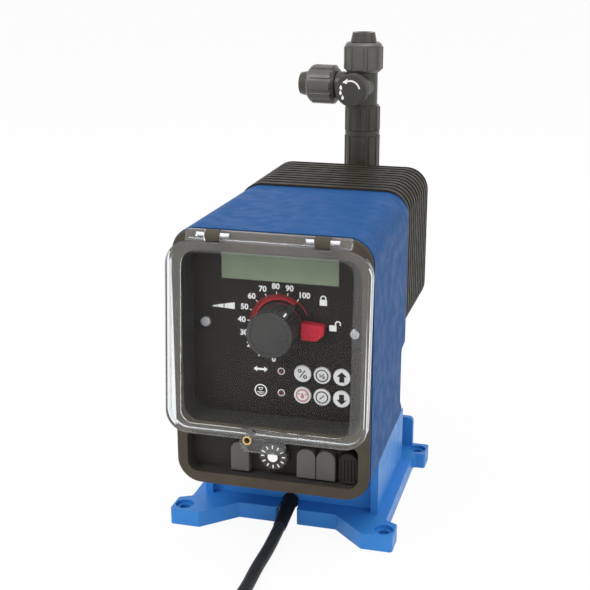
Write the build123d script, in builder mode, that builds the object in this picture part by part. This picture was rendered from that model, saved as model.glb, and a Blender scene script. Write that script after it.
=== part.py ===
from build123d import *
import math
import os

os.makedirs("parts", exist_ok=True)

# Diaphragm metering pump with a solenoid drive, in millimetres.
# X is to the right, Y runs from the front panel to the pump head, Z is up.
# The origin lies on the floor, in the middle of the four screw holes of the base.
# "Depth" is a distance behind the front face of the bezel.

# ---------------------------------------------------------------- driving dimensions
front_y = -81.0         # front face of the bezel
running = 0.06          # radial clearance of a shaft in its bearing
loose = 0.15            # clearance of a piece that drops into place
gap = 0.3               # air between moving pieces
snug = 0.05             # radial clearance of a spigot in its bore
screw_air = 0.1         # radial air round a screw in its hole
body_width = 115.0      # housing, at its front
body_width_back = 110.0
body_bottom = 37.0
body_top = 190.5
body_corner = 15.0
body_wall = 3.0
lip_thickness = 3.0     # rim of the bezel in front of the housing
housing_end = 118.0     # depth of the back of the housing
notch_end = 104.0       # depth of its lower back wall
notch_top = 94.0        # height where the back wall steps in
notch_foot = 58.0       # height where it flares out again
flare_height = 7.0      # height of the flared foot over the bottom of the housing
ribbed_length = 78.5    # rear cover
rear_width = 109.6
rear_bottom = 97.0
rear_top = 192.0
rear_wall = 4.0
rear_plate = 5.0        # wall that carries the pump head
rib_count = 10
groove_width = 3.0
groove_depth = 1.8
window_corner = 12.0    # opening in the back of the housing
boss_radius = 5.0
cover_screw_x = 43.0
cover_screw_radius = 2.0
cover_screw_head = 3.9
cover_screw_head_height = 3.0
cover_screw_hex = 1.9   # corner radius of its socket
cover_screw_bite = 6.0
cover_screw_sink = 0.2
cover_boss_length = 9.0
axis_z = 133.0          # knob, solenoid, diaphragm and pump head lie on this axis

cavity_width = 103.0    # upper opening of the bezel
cavity_bottom = 77.0
cavity_top = 178.5
cavity_corner = 10.0
recess_width = 101.2    # lower opening of the bezel
recess_bottom = 44.5
recess_top = 71.0
recess_corner = 6.0
recess_depth = 12.0
recess_wall = 2.5
tub_depth = 26.0
tub_wall = 1.7
panel_depth = 20.0      # depth of the front of the panel plate
panel_thickness = 2.5
overlay_thickness = 0.5
ledge = 2.0             # step in the bezel that carries the panel
board_depth = 30.0
board_thickness = 1.6

display_width = 68.0
display_height = 15.2
display_z = 165.2
display_border = 2.0
display_sink = 0.2
key_radius = 5.0
key_rise = 1.0          # the keys stand proud of the overlay
key_flange = 0.5
key_flange_thickness = 1.0
key_stem = 1.5
switch_side = 5.0
switch_height = 2.0
key_travel = 0.8
key_pitch_x = 11.5
key_pitch_z = 13.2
key_first_x = 13.7
key_top_z = 104.4
lamp_x = 0.9
lamp_radius = 1.5
panel_screw_x = 44.0
panel_screw_z = 131.0
panel_screw_radius = 1.55
panel_screw_length = 8.5
panel_screw_head = 3.1
panel_screw_head_height = 1.9
panel_boss_radius = 4.5
panel_boss_length = 7.0

knob_radius = 13.3
knob_length = 18.6
knob_ribs = 40
knob_angle = 54.0       # direction of the pointer at full stroke
pointer_length = 6.4    # fin on the side of the knob
pointer_width = 3.6
pointer_start = 1.5     # behind the knob's face
pointer_end = 3.3       # before the knob's back
knob_rib_radius = 0.45
face_groove = 2.2       # ring in the knob's face, in from its edge
face_groove_width = 0.8
face_groove_depth = 0.4
knob_skin = 4.0         # face of the knob, over the bore for its shaft
shaft_fit = 0.02
stroke_shaft_radius = 4.0
hub_rise = 3.5          # hub on the panel that carries the shaft and the lever
lever_inner = 8.8
lever_outer = 12.6      # its ring lies hidden behind the knob
lever_reach = 27.0
lever_width = 10.0
lever_rise = 5.3
lever_drop = 1.7        # the lever's arm lies below the axis

trim_z = 57.5
trim_radius = 8.5
trim_length = 6.0
trim_stand = 2.0        # air behind the dial
trim_boss_radius = 3.2
trim_boss = 1.0
trim_stem = 3.0
cap_width = 11.1
cap_bottom = 45.6
cap_top = 63.8
cap_face = 5.0          # depth of the faces of the socket caps
cap_stem = 4.0
cap_stem_length = 7.0
socket_radius = 5.3
socket_length = 9.0

hinge_depth = -3.4      # the hinge lies in front of the bezel
hinge_z = 188.0
knuckle_x = 30.7
knuckle_width = 8.0
knuckle_radius = 3.3
pin_radius = 1.0
pin_length = 18.0
knuckle_web = 4.4
lid_open = 4.3          # degrees that the cover stands open
lid_width = 116.0
lid_height = 113.6      # from the hinge axis down to the lower edge
lid_depth = 6.0
lid_plate = 2.4
lid_wall = 2.2
lid_corner = 13.0
tab_left = -14.0
tab_right = 12.0
tab_drop = 7.0
tab_hole_x = -9.5
bush_radius = 2.55
bush_bore = 1.7

base_thickness = 10.0
flange_margin = 6.5     # flange beyond the cheeks
foot_reach = 7.6        # feet beyond the flange
cheek_inset = 3.0       # cheeks inside the widest part of the housing
cheek_thickness = 4.5
cheek_front = 41.0      # depths
saddle_front = 46.0
saddle_back = 122.0
base_front = 14.3
base_middle = 33.0
base_back = 148.0
front_foot_length = 16.0
rear_foot_length = 17.0
front_foot_inner = 50.0
bridge_half = 30.4      # half of the straight middle of the front edge
foot_hole_radius = 3.2
foot_recess_radius = 5.6
foot_recess_depth = 2.0
base_skin = 3.5         # top skin over the pockets in the underside
saddle_rise = 9.0       # the saddle's walls, over the bottom of the housing
post_radius = 5.5       # posts in the saddle that the housing is screwed to
post_bore = 2.1
base_screw_head = 3.7
base_screw_head_height = 3.5
base_screw_recess = 6.0
base_screw_bite = 8.0
base_boss_height = 12.0
foot_hole_inset = 6.6   # from the outer edge of a foot
hole_rows = 117.0       # from the front holes to the rear holes
upright_height = 30.0
upright_thickness = 4.0
upright_half = 57.7
slot_half = 5.8
slot_end = 44.4         # the slot for the cord, up to the front wall of the saddle
saddle_wall = 3.5

solenoid_radius = 30.0
solenoid_front = 84.0
solenoid_length = 58.0
can_wall = 4.0
armature_radius = 12.0
stroke = 3.0            # travel of the armature and of the stroke stop
shaft_radius = 4.0
bracket_air = 0.4       # bracket, behind the back of the housing
bracket_thickness = 3.0
bracket_half = 48.0

adapter_length = 14.5
diaphragm_thickness = 2.5
head_side = 70.0
head_corner = 8.0
flange_thickness = 11.5
bolt_offset = 27.0
bolt_radius = 2.4
bolt_head = 4.4
bolt_head_height = 3.0
bolt_washer = 2.0
bolt_hex = 2.2
bolt_bite = 6.0
bolt_boss_length = 8.0
spigot_outer = 12.0     # centring spigot of the adapter plate
diaphragm_chamber = 24.0
barrel_radius = 15.0
barrel_offset = 38.5    # from the back of the rear cover to the axis of the valves
barrel_half = 42.0
cartridge_radius = 12.6
cartridge_length = 34.8
spigot_radius = 9.0
spigot_length = 12.0
ball_radius = 4.76
ball_lift = 1.6
seat_bore = 3.4
seat_thickness = 4.0
flow_radius = 3.6
nut_radius = 13.8
nut_length = 20.5
nipple_length = 10.0
collet_out = 6.5
collet_head = 9.2
collet_neck = 7.4
tube_radius = 4.8
valve_twist = 6.0       # degrees that the bleed valve is turned on its thread
skirt_length = 17.5
bleed_height = 40.3     # of the bleed valve body, with its skirt
branch_z = 30.7         # height of its side branch over the cartridge
branch_radius = 10.3
bleed_knob_radius = 11.2
bleed_knob_face = 28.0
bleed_knob_thickness = 8.0
flutes = 12

cord_radius = 3.6
boot_x = -1.0           # where the strain relief sits in the front wall of the saddle
boot_z = 9.0
boot_neck = 4.6         # radii of the strain relief
boot_flange = 5.2
boot_clamp = 6.4
boot_reach = 26.0       # from the front wall of the saddle to its tip
boot_tip = (-0.8, 4.5)  # x and height of the middle of its tip
coil_radius = 42.0      # middle of the turns of the spare cord
coil_columns = 4        # turns beside each other
coil_layers = 2         # turns on each other
plug_length = 34.0
plug_width = 25.0
plug_height = 20.0


# ---------------------------------------------------------------- places worked out from them
def at_depth(depth):
    """Y of a depth behind the front face of the bezel."""
    return front_y + depth


def facing(depth):
    """Plane seen from the front: x to the right, y up, normal towards the viewer."""
    return Plane.XZ.offset(-at_depth(depth))


def bore_at(z, side=1):
    """Plane across the upright valve axis at a height, looking up (1) or down (-1)."""
    return Plane(origin=(0, at_depth(valve_depth), z), x_dir=(1, 0, 0), z_dir=(0, 0, side))


body_height = body_top - body_bottom
body_z = (body_top + body_bottom) / 2
rear_height = rear_top - rear_bottom
rear_z = (rear_top + rear_bottom) / 2
rear_end = housing_end + ribbed_length
cavity_height = cavity_top - cavity_bottom
cavity_z = (cavity_top + cavity_bottom) / 2
recess_height = recess_top - recess_bottom
recess_z = (recess_top + recess_bottom) / 2
overlay_depth = panel_depth - overlay_thickness
panel_back = panel_depth + panel_thickness
cheek_outer = body_width / 2 - cheek_inset
flange_half = cheek_outer + flange_margin
foot_half = flange_half + foot_reach
hole_x = foot_half - foot_hole_inset
hole_y = hole_rows / 2
solenoid_back = solenoid_front + solenoid_length
bracket_depth = housing_end + bracket_air
bracket_end = bracket_depth + bracket_thickness
head_front = rear_end + adapter_length + diaphragm_thickness
adapter_back = rear_end + adapter_length
valve_depth = rear_end + barrel_offset
head_bottom = axis_z - head_side / 2
head_top = axis_z + head_side / 2
barrel_top = axis_z + barrel_half
barrel_bottom = axis_z - barrel_half
cartridge_top = barrel_top + cartridge_length
cartridge_bottom = barrel_bottom - cartridge_length
key_columns = [key_first_x + i * key_pitch_x for i in range(3)]
key_rows = [key_top_z, key_top_z - key_pitch_z]
key_places = [(x, z) for z in key_rows for x in key_columns]
key_names = ["percent", "mode", "up", "prime", "stop", "down"]
cap_z = (cap_bottom + cap_top) / 2
cap_places = [-20.4, 19.2, 30.7]
ribbed_cap_x = 43.9
bolt_places = [(x, axis_z + z) for x in (-bolt_offset, bolt_offset) for z in (-bolt_offset, bolt_offset)]
window_half = cover_screw_x - 7.5
window_bottom = axis_z - solenoid_radius - 1.5
window_top = rear_top - 14
cover_screw_heights = (rear_bottom + 11, rear_top - 12)
cover_screw_places = [(x, z) for x in (-cover_screw_x, cover_screw_x) for z in cover_screw_heights]


# ---------------------------------------------------------------- shapes that are used many times
def upright_slab(width, bottom, top, corner, depth, thickness):
    """Upright slab with rounded corners that starts at a depth."""
    with BuildPart() as block:
        with BuildSketch(facing(depth)):
            with Locations((0, (bottom + top) / 2)):
                RectangleRounded(width, top - bottom, corner)
        extrude(amount=-thickness)
    return block.part


def rods(places, radius, depth, length):
    """Cylinders along Y that start at a depth, one at each (x, z) place."""
    with BuildPart() as block:
        with BuildSketch(facing(depth)):
            with Locations(*places):
                Circle(radius)
        extrude(amount=-length)
    return block.part


def ring(outer, inner, depth, length):
    """Ring on the pump axis that starts at a depth."""
    with BuildPart() as block:
        with BuildSketch(facing(depth)):
            with Locations((0, axis_z)):
                Circle(outer)
                Circle(inner, mode=Mode.SUBTRACT)
        extrude(amount=-length)
    return block.part


def disc(radius, depth, length):
    """Cylinder on the pump axis that starts at a depth."""
    return rods([(0, axis_z)], radius, depth, length)


def upright_cylinder(radius, low, high):
    """Cylinder on the valve axis between two heights."""
    with BuildPart() as block:
        with BuildSketch(bore_at(low)):
            Circle(radius)
        extrude(amount=high - low)
    return block.part


def fluted_cylinder(radius, low, high, count):
    """Cylinder on the valve axis with grip flutes."""
    with BuildPart() as block:
        with BuildSketch(bore_at(low)):
            Circle(radius)
            with PolarLocations(radius + 0.6, count):
                Circle(1.5, mode=Mode.SUBTRACT)
        extrude(amount=high - low)
    return block.part


# ---------------------------------------------------------------- base
def housing_envelope(extra):
    """Outside of the housing as a plain tapered block, grown by a clearance."""
    with BuildPart() as block:
        with BuildSketch(facing(lip_thickness)):
            with Locations((0, body_z)):
                RectangleRounded(body_width + 2 * extra, body_height + 2 * extra, body_corner + extra)
        with BuildSketch(facing(housing_end + 8)):
            with Locations((0, body_z)):
                RectangleRounded(body_width_back + 2 * extra, body_height + 2 * extra, body_corner + extra)
        loft()
    return block.part


base_outline = [
    (slot_half, at_depth(slot_end)),
    (slot_half, at_depth(base_middle)),
    (bridge_half, at_depth(base_middle)),
    (front_foot_inner, at_depth(base_front)),
    (foot_half, at_depth(base_front)),
    (foot_half, at_depth(base_front + front_foot_length)),
    (flange_half, at_depth(base_front + front_foot_length + 4)),
    (flange_half, at_depth(base_back - rear_foot_length)),
    (foot_half, at_depth(base_back - rear_foot_length)),
    (foot_half, at_depth(base_back)),
]
mirrored_outline = [(-x, y) for x, y in reversed(base_outline)]
post_places = [(x, at_depth(d)) for x in (-34, 34) for d in (58, 92)]
pockets = [(base_middle + 14, flange_half - 8, 12), (94, flange_half - 16, 44)]  # depth, half width, length

with BuildPart() as base:
    with BuildSketch():
        Polygon(*base_outline, *mirrored_outline, align=None)
        fillet(vertices(), 2.0)
    extrude(amount=base_thickness)
    saddle_length = saddle_back - saddle_front
    cheek_length = saddle_back - cheek_front
    cheek_middle = cheek_outer - cheek_thickness / 2
    with BuildSketch(Plane.XY.offset(base_thickness)):
        with Locations((0, at_depth(saddle_front + saddle_length / 2))):
            Rectangle(2 * cheek_outer, saddle_length)
            Rectangle(
                2 * (cheek_outer - cheek_thickness), saddle_length - 2 * saddle_wall, mode=Mode.SUBTRACT
            )
        for side in (-1, 1):
            with Locations((side * cheek_middle, at_depth(cheek_front + cheek_length / 2))):
                Rectangle(cheek_thickness, cheek_length)
    extrude(amount=body_bottom + saddle_rise - base_thickness)
    with BuildSketch(Plane.XY.offset(base_thickness)):
        with Locations(*post_places):
            Circle(post_radius)
    extrude(amount=body_bottom - base_thickness)
    add(housing_envelope(loose), mode=Mode.SUBTRACT)
    with BuildSketch(facing(base_back)):
        with Locations((0, upright_height / 2)):
            Rectangle(2 * upright_half, upright_height)
        fillet(vertices().group_by(Axis.Y)[-1], 3.0)
    extrude(amount=upright_thickness)
    with BuildSketch(Plane.XY):
        for middle, half, length in pockets:
            with Locations((0, at_depth(middle))):
                Rectangle(2 * half, length)
        with Locations(*post_places):
            Circle(post_radius, mode=Mode.SUBTRACT)
    extrude(amount=base_thickness - base_skin, mode=Mode.SUBTRACT)
    with BuildSketch(Plane.XY):
        with Locations((boot_x, at_depth((slot_end + saddle_front) / 2))):
            Rectangle(2 * boot_flange + 1, saddle_front - slot_end)
        with Locations((boot_x, at_depth(saddle_front + saddle_wall + 10))):
            Rectangle(2 * boot_clamp + 2, 20)
    extrude(amount=base_thickness, mode=Mode.SUBTRACT)
    with BuildSketch(facing(saddle_front)):
        with Locations((boot_x, boot_z)):
            Circle(boot_neck + snug)
        with Locations((boot_x, boot_z / 2)):
            Rectangle(2 * (boot_neck + snug), boot_z)
    extrude(amount=-saddle_wall, mode=Mode.SUBTRACT)
    with Locations(*[(x, y, base_thickness) for x in (-hole_x, hole_x) for y in (-hole_y, hole_y)]):
        CounterBoreHole(foot_hole_radius, foot_recess_radius, foot_recess_depth, depth=base_thickness)
    with Locations(*[Location((x, y, 0), (180, 0, 0)) for x, y in post_places]):
        CounterBoreHole(post_bore, base_screw_head + gap, base_screw_recess, depth=body_bottom)
base.part.label = "base_stand"
export_step(base.part, "parts/base_stand.step")

with BuildPart() as base_screws:
    with BuildSketch(Plane.XY.offset(base_screw_recess - base_screw_head_height)):
        with Locations(*post_places):
            Circle(base_screw_head)
    extrude(amount=base_screw_head_height)
    with BuildSketch(Plane.XY.offset(base_screw_recess)):
        with Locations(*post_places):
            Circle(post_bore - screw_air)
    extrude(amount=body_bottom + base_screw_bite - base_screw_recess)
base_screws.part.label = "base_screws"
export_step(base_screws.part, "parts/base_screws.step")


# ---------------------------------------------------------------- housing
def side_profile(first, last):
    """Side view of the housing from the depth first to the depth last."""
    return [
        (at_depth(first), body_bottom),
        (at_depth(first), body_top),
        (at_depth(last), body_top),
        (at_depth(last), notch_top),
        (at_depth(notch_end), notch_top - 1),
        (at_depth(notch_end), notch_foot),
        (at_depth(last), body_bottom + flare_height),
        (at_depth(last), body_bottom),
    ]


with BuildPart() as housing_inside:
    add(housing_envelope(-body_wall))
    with BuildSketch(Plane.YZ):
        Polygon(*side_profile(lip_thickness - 2 * body_wall, housing_end), align=None)
        offset(amount=-body_wall, kind=Kind.INTERSECTION)
    extrude(amount=body_width, both=True, mode=Mode.INTERSECT)

with BuildPart() as housing:
    add(housing_envelope(0))
    with BuildSketch(Plane.YZ):
        Polygon(*side_profile(lip_thickness, housing_end), align=None)
        fillet(vertices().group_by(Axis.X)[1], 4.0)
    extrude(amount=body_width, both=True, mode=Mode.INTERSECT)
    add(housing_inside.part, mode=Mode.SUBTRACT)
    with BuildSketch(facing(housing_end - body_wall)):
        with Locations((0, (window_bottom + window_top) / 2)):
            RectangleRounded(2 * window_half, window_top - window_bottom, window_corner)
    extrude(amount=-body_wall, mode=Mode.SUBTRACT)
    for x, z in cover_screw_places:
        with BuildSketch(facing(housing_end - body_wall - cover_boss_length)):
            with Locations((x, z)):
                Circle(boss_radius)
        extrude(amount=-(cover_boss_length + body_wall))
        with BuildSketch(facing(housing_end)):
            with Locations((x, z)):
                Circle(cover_screw_radius + screw_air)
        extrude(amount=cover_boss_length + 1, mode=Mode.SUBTRACT)
    with BuildSketch(Plane.XY.offset(body_bottom)):
        with Locations(*post_places):
            Circle(boss_radius)
    extrude(amount=base_boss_height)
    with BuildSketch(Plane.XY.offset(body_bottom)):
        with Locations(*post_places):
            Circle(post_bore)
    extrude(amount=base_screw_bite + 2, mode=Mode.SUBTRACT)
housing.part.label = "housing"
export_step(housing.part, "parts/housing.step")


# ---------------------------------------------------------------- rear cover
rib_pitch = (ribbed_length - 4) / rib_count
with BuildPart() as rear_cover:
    with BuildSketch(facing(housing_end)):
        with Locations((0, rear_z)):
            RectangleRounded(rear_width, rear_height, body_corner)
    extrude(amount=-ribbed_length)
    fillet(edges().group_by(Axis.Y)[-1], 2.0)
    with BuildSketch(facing(housing_end)):
        with Locations((0, rear_z)):
            RectangleRounded(rear_width - 2 * rear_wall, rear_height - 2 * rear_wall, body_corner - rear_wall)
    extrude(amount=-(ribbed_length - rear_plate), mode=Mode.SUBTRACT)
    for i in range(rib_count):
        groove = housing_end + 3 + i * rib_pitch + (rib_pitch - groove_width) / 2
        with BuildSketch(facing(groove)):
            with Locations((0, rear_z)):
                RectangleRounded(rear_width + 2, rear_height + 2, body_corner + 1)
                RectangleRounded(
                    rear_width - 2 * groove_depth, rear_height - 2 * groove_depth, body_corner - groove_depth,
                    mode=Mode.SUBTRACT,
                )
        extrude(amount=-groove_width, mode=Mode.SUBTRACT)
    for x, z in cover_screw_places:
        with BuildSketch(facing(bracket_end + screw_air)):
            with Locations((x, z)):
                Circle(boss_radius)
        extrude(amount=-(rear_end - rear_plate - bracket_end - screw_air))
    for x, z in bolt_places:
        with BuildSketch(facing(rear_end - rear_plate - bolt_boss_length)):
            with Locations((x, z)):
                Circle(boss_radius)
        extrude(amount=-bolt_boss_length)
    with BuildSketch(facing(rear_end)):
        with Locations((0, axis_z)):
            Circle(spigot_outer + 2 * snug)
    extrude(amount=rear_plate, mode=Mode.SUBTRACT)
    with BuildSketch(facing(rear_end)):
        with Locations(*cover_screw_places):
            Circle(cover_screw_radius + 2 * screw_air)
    extrude(amount=ribbed_length, mode=Mode.SUBTRACT)
    with BuildSketch(facing(rear_end)):
        with Locations(*cover_screw_places):
            Circle(cover_screw_head + gap)
    extrude(amount=cover_screw_head_height + cover_screw_sink, mode=Mode.SUBTRACT)
    with BuildSketch(facing(rear_end)):
        with Locations(*bolt_places):
            Circle(bolt_radius + snug)
    extrude(amount=rear_plate + bolt_boss_length, mode=Mode.SUBTRACT)
rear_cover.part.label = "rear_cover"
export_step(rear_cover.part, "parts/rear_cover.step")

with BuildPart() as rear_cover_screws:
    with BuildSketch(facing(rear_end - cover_screw_sink)):
        with Locations(*cover_screw_places):
            Circle(cover_screw_head)
            RegularPolygon(cover_screw_hex, 6, mode=Mode.SUBTRACT)
    extrude(amount=cover_screw_head_height)
    with BuildSketch(facing(rear_end - cover_screw_sink - 2)):
        with Locations(*cover_screw_places):
            Circle(cover_screw_radius)
    extrude(amount=ribbed_length + cover_screw_bite)
rear_cover_screws.part.label = "rear_cover_screws"
export_step(rear_cover_screws.part, "parts/rear_cover_screws.step")


# ---------------------------------------------------------------- bezel and panel
rim_inset = 0.6
with BuildPart() as bezel:
    add(
        upright_slab(
            body_width - 2 * rim_inset, body_bottom + rim_inset, body_top - rim_inset,
            body_corner - rim_inset, 0, lip_thickness,
        ),
    )
    fillet(edges().group_by(Axis.Y)[0], 1.0)
    add(
        upright_slab(
            cavity_width + 2 * tub_wall, recess_bottom - 2.5, cavity_top + tub_wall + 3,
            cavity_corner + tub_wall, 0, tub_depth,
        ),
    )
    add(
        upright_slab(
            cavity_width, cavity_bottom, cavity_top, cavity_corner, 0, panel_back,
        ),
        mode=Mode.SUBTRACT,
    )
    add(
        upright_slab(
            cavity_width - 2 * ledge, cavity_bottom + ledge, cavity_top - ledge,
            cavity_corner - ledge, 0, tub_depth,
        ),
        mode=Mode.SUBTRACT,
    )
    add(
        upright_slab(
            recess_width, recess_bottom, recess_top, recess_corner, 0, recess_depth,
        ),
        mode=Mode.SUBTRACT,
    )
    add(
        upright_slab(
            recess_width, recess_bottom, recess_top, recess_corner, recess_depth + recess_wall,
            tub_depth,
        ),
        mode=Mode.SUBTRACT,
    )
    boss_width = cavity_width / 2 + tub_wall - panel_screw_x
    for side in (-1, 1):
        with BuildSketch(facing(panel_back)):
            with Locations((side * (panel_screw_x + boss_width / 2), panel_screw_z)):
                Rectangle(boss_width, 2 * panel_boss_radius)
            with Locations((side * panel_screw_x, panel_screw_z)):
                Circle(panel_boss_radius)
        extrude(amount=-panel_boss_length)
        with BuildSketch(facing(panel_back)):
            with Locations((side * panel_screw_x, panel_screw_z)):
                Circle(panel_screw_radius + screw_air)
        extrude(amount=-panel_boss_length, mode=Mode.SUBTRACT)
        with BuildSketch(Plane.YZ.offset(side * knuckle_x - knuckle_width / 2)):
            with Locations((at_depth(hinge_depth), hinge_z)):
                Circle(knuckle_radius)
            with Locations((at_depth(hinge_depth / 2), hinge_z)):
                Rectangle(-hinge_depth, knuckle_web)
        extrude(amount=knuckle_width)
        with BuildSketch(Plane.YZ.offset(side * knuckle_x - knuckle_width / 2)):
            with Locations((at_depth(hinge_depth), hinge_z)):
                Circle(pin_radius + running)
        extrude(amount=knuckle_width, mode=Mode.SUBTRACT)
    with BuildSketch(facing(recess_depth)):
        with Locations(*[(x, cap_z) for x in cap_places], (ribbed_cap_x, cap_z)):
            Circle(cap_stem + gap)
        with Locations((0, trim_z)):
            Circle(trim_stem + running)
    extrude(amount=-recess_wall, mode=Mode.SUBTRACT)
    with BuildSketch(facing(0)):
        with Locations((tab_hole_x, (cavity_bottom + recess_top) / 2)):
            Circle(1.5)
    extrude(amount=-8, mode=Mode.SUBTRACT)
bezel.part.label = "front_bezel"
export_step(bezel.part, "parts/front_bezel.step")

board_post_radius = 2.6
post_spots = [(-45, 85.5), (45, 85.5), (-43, 167), (43, 167)]
panel_width = cavity_width - 2 * loose
with BuildPart() as panel:
    add(
        upright_slab(
            panel_width, cavity_bottom + loose, cavity_top - loose, cavity_corner - loose,
            panel_depth, panel_thickness,
        ),
    )
    with BuildSketch(facing(panel_depth - hub_rise)):
        with Locations((0, axis_z)):
            Circle(lever_inner - running)
    extrude(amount=-(hub_rise + panel_thickness))
    with BuildSketch(facing(panel_back)):
        with Locations(*post_spots):
            Circle(board_post_radius)
    extrude(amount=-(board_depth - panel_back))
    with BuildSketch(facing(panel_depth - hub_rise)):
        with Locations((0, axis_z)):
            Circle(stroke_shaft_radius + running)
    extrude(amount=-(hub_rise + panel_thickness), mode=Mode.SUBTRACT)
    with BuildSketch(facing(panel_depth)):
        with Locations((0, display_z)):
            Rectangle(display_width + 2 * loose, display_height + 2 * loose)
        with Locations(*key_places):
            Circle(key_radius + loose)
        with Locations(*[(lamp_x, z) for z in key_rows]):
            Circle(lamp_radius + loose)
        with Locations((-panel_screw_x, panel_screw_z), (panel_screw_x, panel_screw_z)):
            Circle(panel_screw_radius + 2 * screw_air)
    extrude(amount=-panel_thickness, mode=Mode.SUBTRACT)
panel.part.label = "control_panel"
export_step(panel.part, "parts/control_panel.step")

with BuildPart() as overlay:
    add(
        upright_slab(
            panel_width, cavity_bottom + loose, cavity_top - loose, cavity_corner - loose,
            overlay_depth, overlay_thickness,
        ),
    )
    with BuildSketch(facing(overlay_depth)):
        with Locations((0, axis_z)):
            Circle(lever_inner + loose)
        with Locations((0, display_z)):
            Rectangle(display_width + 2 * loose, display_height + 2 * loose)
        with Locations(*key_places):
            Circle(key_radius + loose)
        with Locations(*[(lamp_x, z) for z in key_rows]):
            Circle(lamp_radius + loose)
        with Locations((-panel_screw_x, panel_screw_z), (panel_screw_x, panel_screw_z)):
            Circle(panel_screw_radius + 2 * screw_air)
    extrude(amount=-overlay_thickness, mode=Mode.SUBTRACT)
overlay.part.label = "panel_overlay"
export_step(overlay.part, "parts/panel_overlay.step")

with BuildPart() as display:
    with BuildSketch(facing(overlay_depth + display_sink)):
        with Locations((0, display_z)):
            Rectangle(display_width, display_height)
    extrude(amount=-(overlay_thickness + panel_thickness))
    with BuildSketch(facing(panel_back)):
        with Locations((0, display_z)):
            Rectangle(display_width + 2 * display_border, display_height + 2 * display_border)
    extrude(amount=-(board_depth - panel_back - gap))
display.part.label = "lcd_display"
export_step(display.part, "parts/lcd_display.step")

key_back = panel_back + gap
stem_end = board_depth - switch_height - key_travel - gap
for name, (x, z) in zip(key_names, key_places):
    with BuildPart() as key:
        with BuildSketch(facing(overlay_depth - key_rise)):
            with Locations((x, z)):
                Circle(key_radius)
        extrude(amount=-(key_back - overlay_depth + key_rise))
        fillet(edges().group_by(Axis.Y)[0], 0.4)
        with BuildSketch(facing(key_back)):
            with Locations((x, z)):
                Circle(key_radius + key_flange)
        extrude(amount=-key_flange_thickness)
        with BuildSketch(facing(key_back + key_flange_thickness)):
            with Locations((x, z)):
                Circle(key_stem)
        extrude(amount=-(stem_end - key_back - key_flange_thickness))
    key.part.label = "key_" + name
    export_step(key.part, "parts/key_" + name + ".step")

with BuildPart() as lamps:
    for z in key_rows:
        with BuildSketch(facing(overlay_depth - 0.3)):
            with Locations((lamp_x, z)):
                Circle(lamp_radius)
        extrude(amount=-(panel_back - overlay_depth + 0.3))
        with BuildSketch(facing(panel_back)):
            with Locations((lamp_x, z)):
                Circle(lamp_radius + 0.5)
        extrude(amount=-(board_depth - panel_back))
lamps.part.label = "status_lamps"
export_step(lamps.part, "parts/status_lamps.step")

cross_length = 3.6
cross_width = 0.8
cross_depth = 1.1
with BuildPart() as panel_screws:
    for side in (-1, 1):
        with BuildSketch(facing(overlay_depth - panel_screw_head_height)):
            with Locations((side * panel_screw_x, panel_screw_z)):
                Circle(panel_screw_head)
        extrude(amount=-panel_screw_head_height)
        chamfer(faces().sort_by(Axis.Y)[0].edges(), 0.6)
        with BuildSketch(facing(overlay_depth - panel_screw_head_height)):
            with Locations((side * panel_screw_x, panel_screw_z)):
                Rectangle(cross_length, cross_width)
                Rectangle(cross_width, cross_length)
        extrude(amount=-cross_depth, mode=Mode.SUBTRACT)
        with BuildSketch(facing(overlay_depth)):
            with Locations((side * panel_screw_x, panel_screw_z)):
                Circle(panel_screw_radius)
        extrude(amount=-panel_screw_length)
panel_screws.part.label = "panel_screws"
export_step(panel_screws.part, "parts/panel_screws.step")

# ---------------------------------------------------------------- stroke knob, lever, shaft and stop
hub_air = 1.2           # the knob is hollowed over the hub
knob_back = panel_depth - pointer_end
knob_front = knob_back - knob_length
lever_back = overlay_depth - gap
lever_front = knob_back + gap
with BuildPart() as knob:
    with BuildSketch(facing(knob_front)):
        with Locations((0, axis_z)):
            Circle(knob_radius)
            with PolarLocations(knob_radius, knob_ribs):
                Circle(knob_rib_radius, mode=Mode.SUBTRACT)
    extrude(amount=-knob_length)
    with BuildSketch(facing(knob_front + pointer_start)):
        with Locations(Location((0, axis_z), knob_angle)):
            with Locations((knob_radius, 0)):
                Rectangle(pointer_length, pointer_width)
    extrude(amount=-(knob_length - pointer_start - pointer_end))
    with BuildSketch(facing(knob_front)):
        with Locations((0, axis_z)):
            Circle(knob_radius - face_groove)
            Circle(knob_radius - face_groove - face_groove_width, mode=Mode.SUBTRACT)
    extrude(amount=-face_groove_depth, mode=Mode.SUBTRACT)
    with BuildSketch(facing(knob_back)):
        with Locations((0, axis_z)):
            Circle(lever_inner + 2 * gap)
    extrude(amount=hub_air, mode=Mode.SUBTRACT)
    with BuildSketch(facing(knob_back)):
        with Locations((0, axis_z)):
            Circle(stroke_shaft_radius + shaft_fit)
    extrude(amount=knob_length - knob_skin, mode=Mode.SUBTRACT)
knob.part.label = "stroke_knob"
export_step(knob.part, "parts/stroke_knob.step")

arm_start = knob_radius + 0.9
arm_front = lever_back - lever_rise
arm_z = axis_z - lever_drop
with BuildPart() as lever:
    with BuildSketch(facing(lever_front)):
        with Locations((0, axis_z)):
            Circle(lever_outer)
            with Locations(((arm_start + lever_outer) / 2, -lever_drop / 2)):
                Rectangle(6, lever_width - 3)
            Circle(lever_inner + running, mode=Mode.SUBTRACT)
    extrude(amount=-(lever_back - lever_front))
    with BuildSketch(facing(arm_front)):
        with BuildLine():
            Polyline(
                (arm_start, arm_z - lever_width / 2),
                (lever_reach - 4, arm_z - lever_width / 2),
                (lever_reach, arm_z - 1),
                (lever_reach, arm_z + lever_width / 2 - 1),
                (arm_start, arm_z + lever_width / 2),
                close=True,
            )
        make_face()
        fillet(vertices(), 0.8)
    extrude(amount=-(lever_back - arm_front))
lever.part.label = "lock_lever"
export_step(lever.part, "parts/lock_lever.step")

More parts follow.
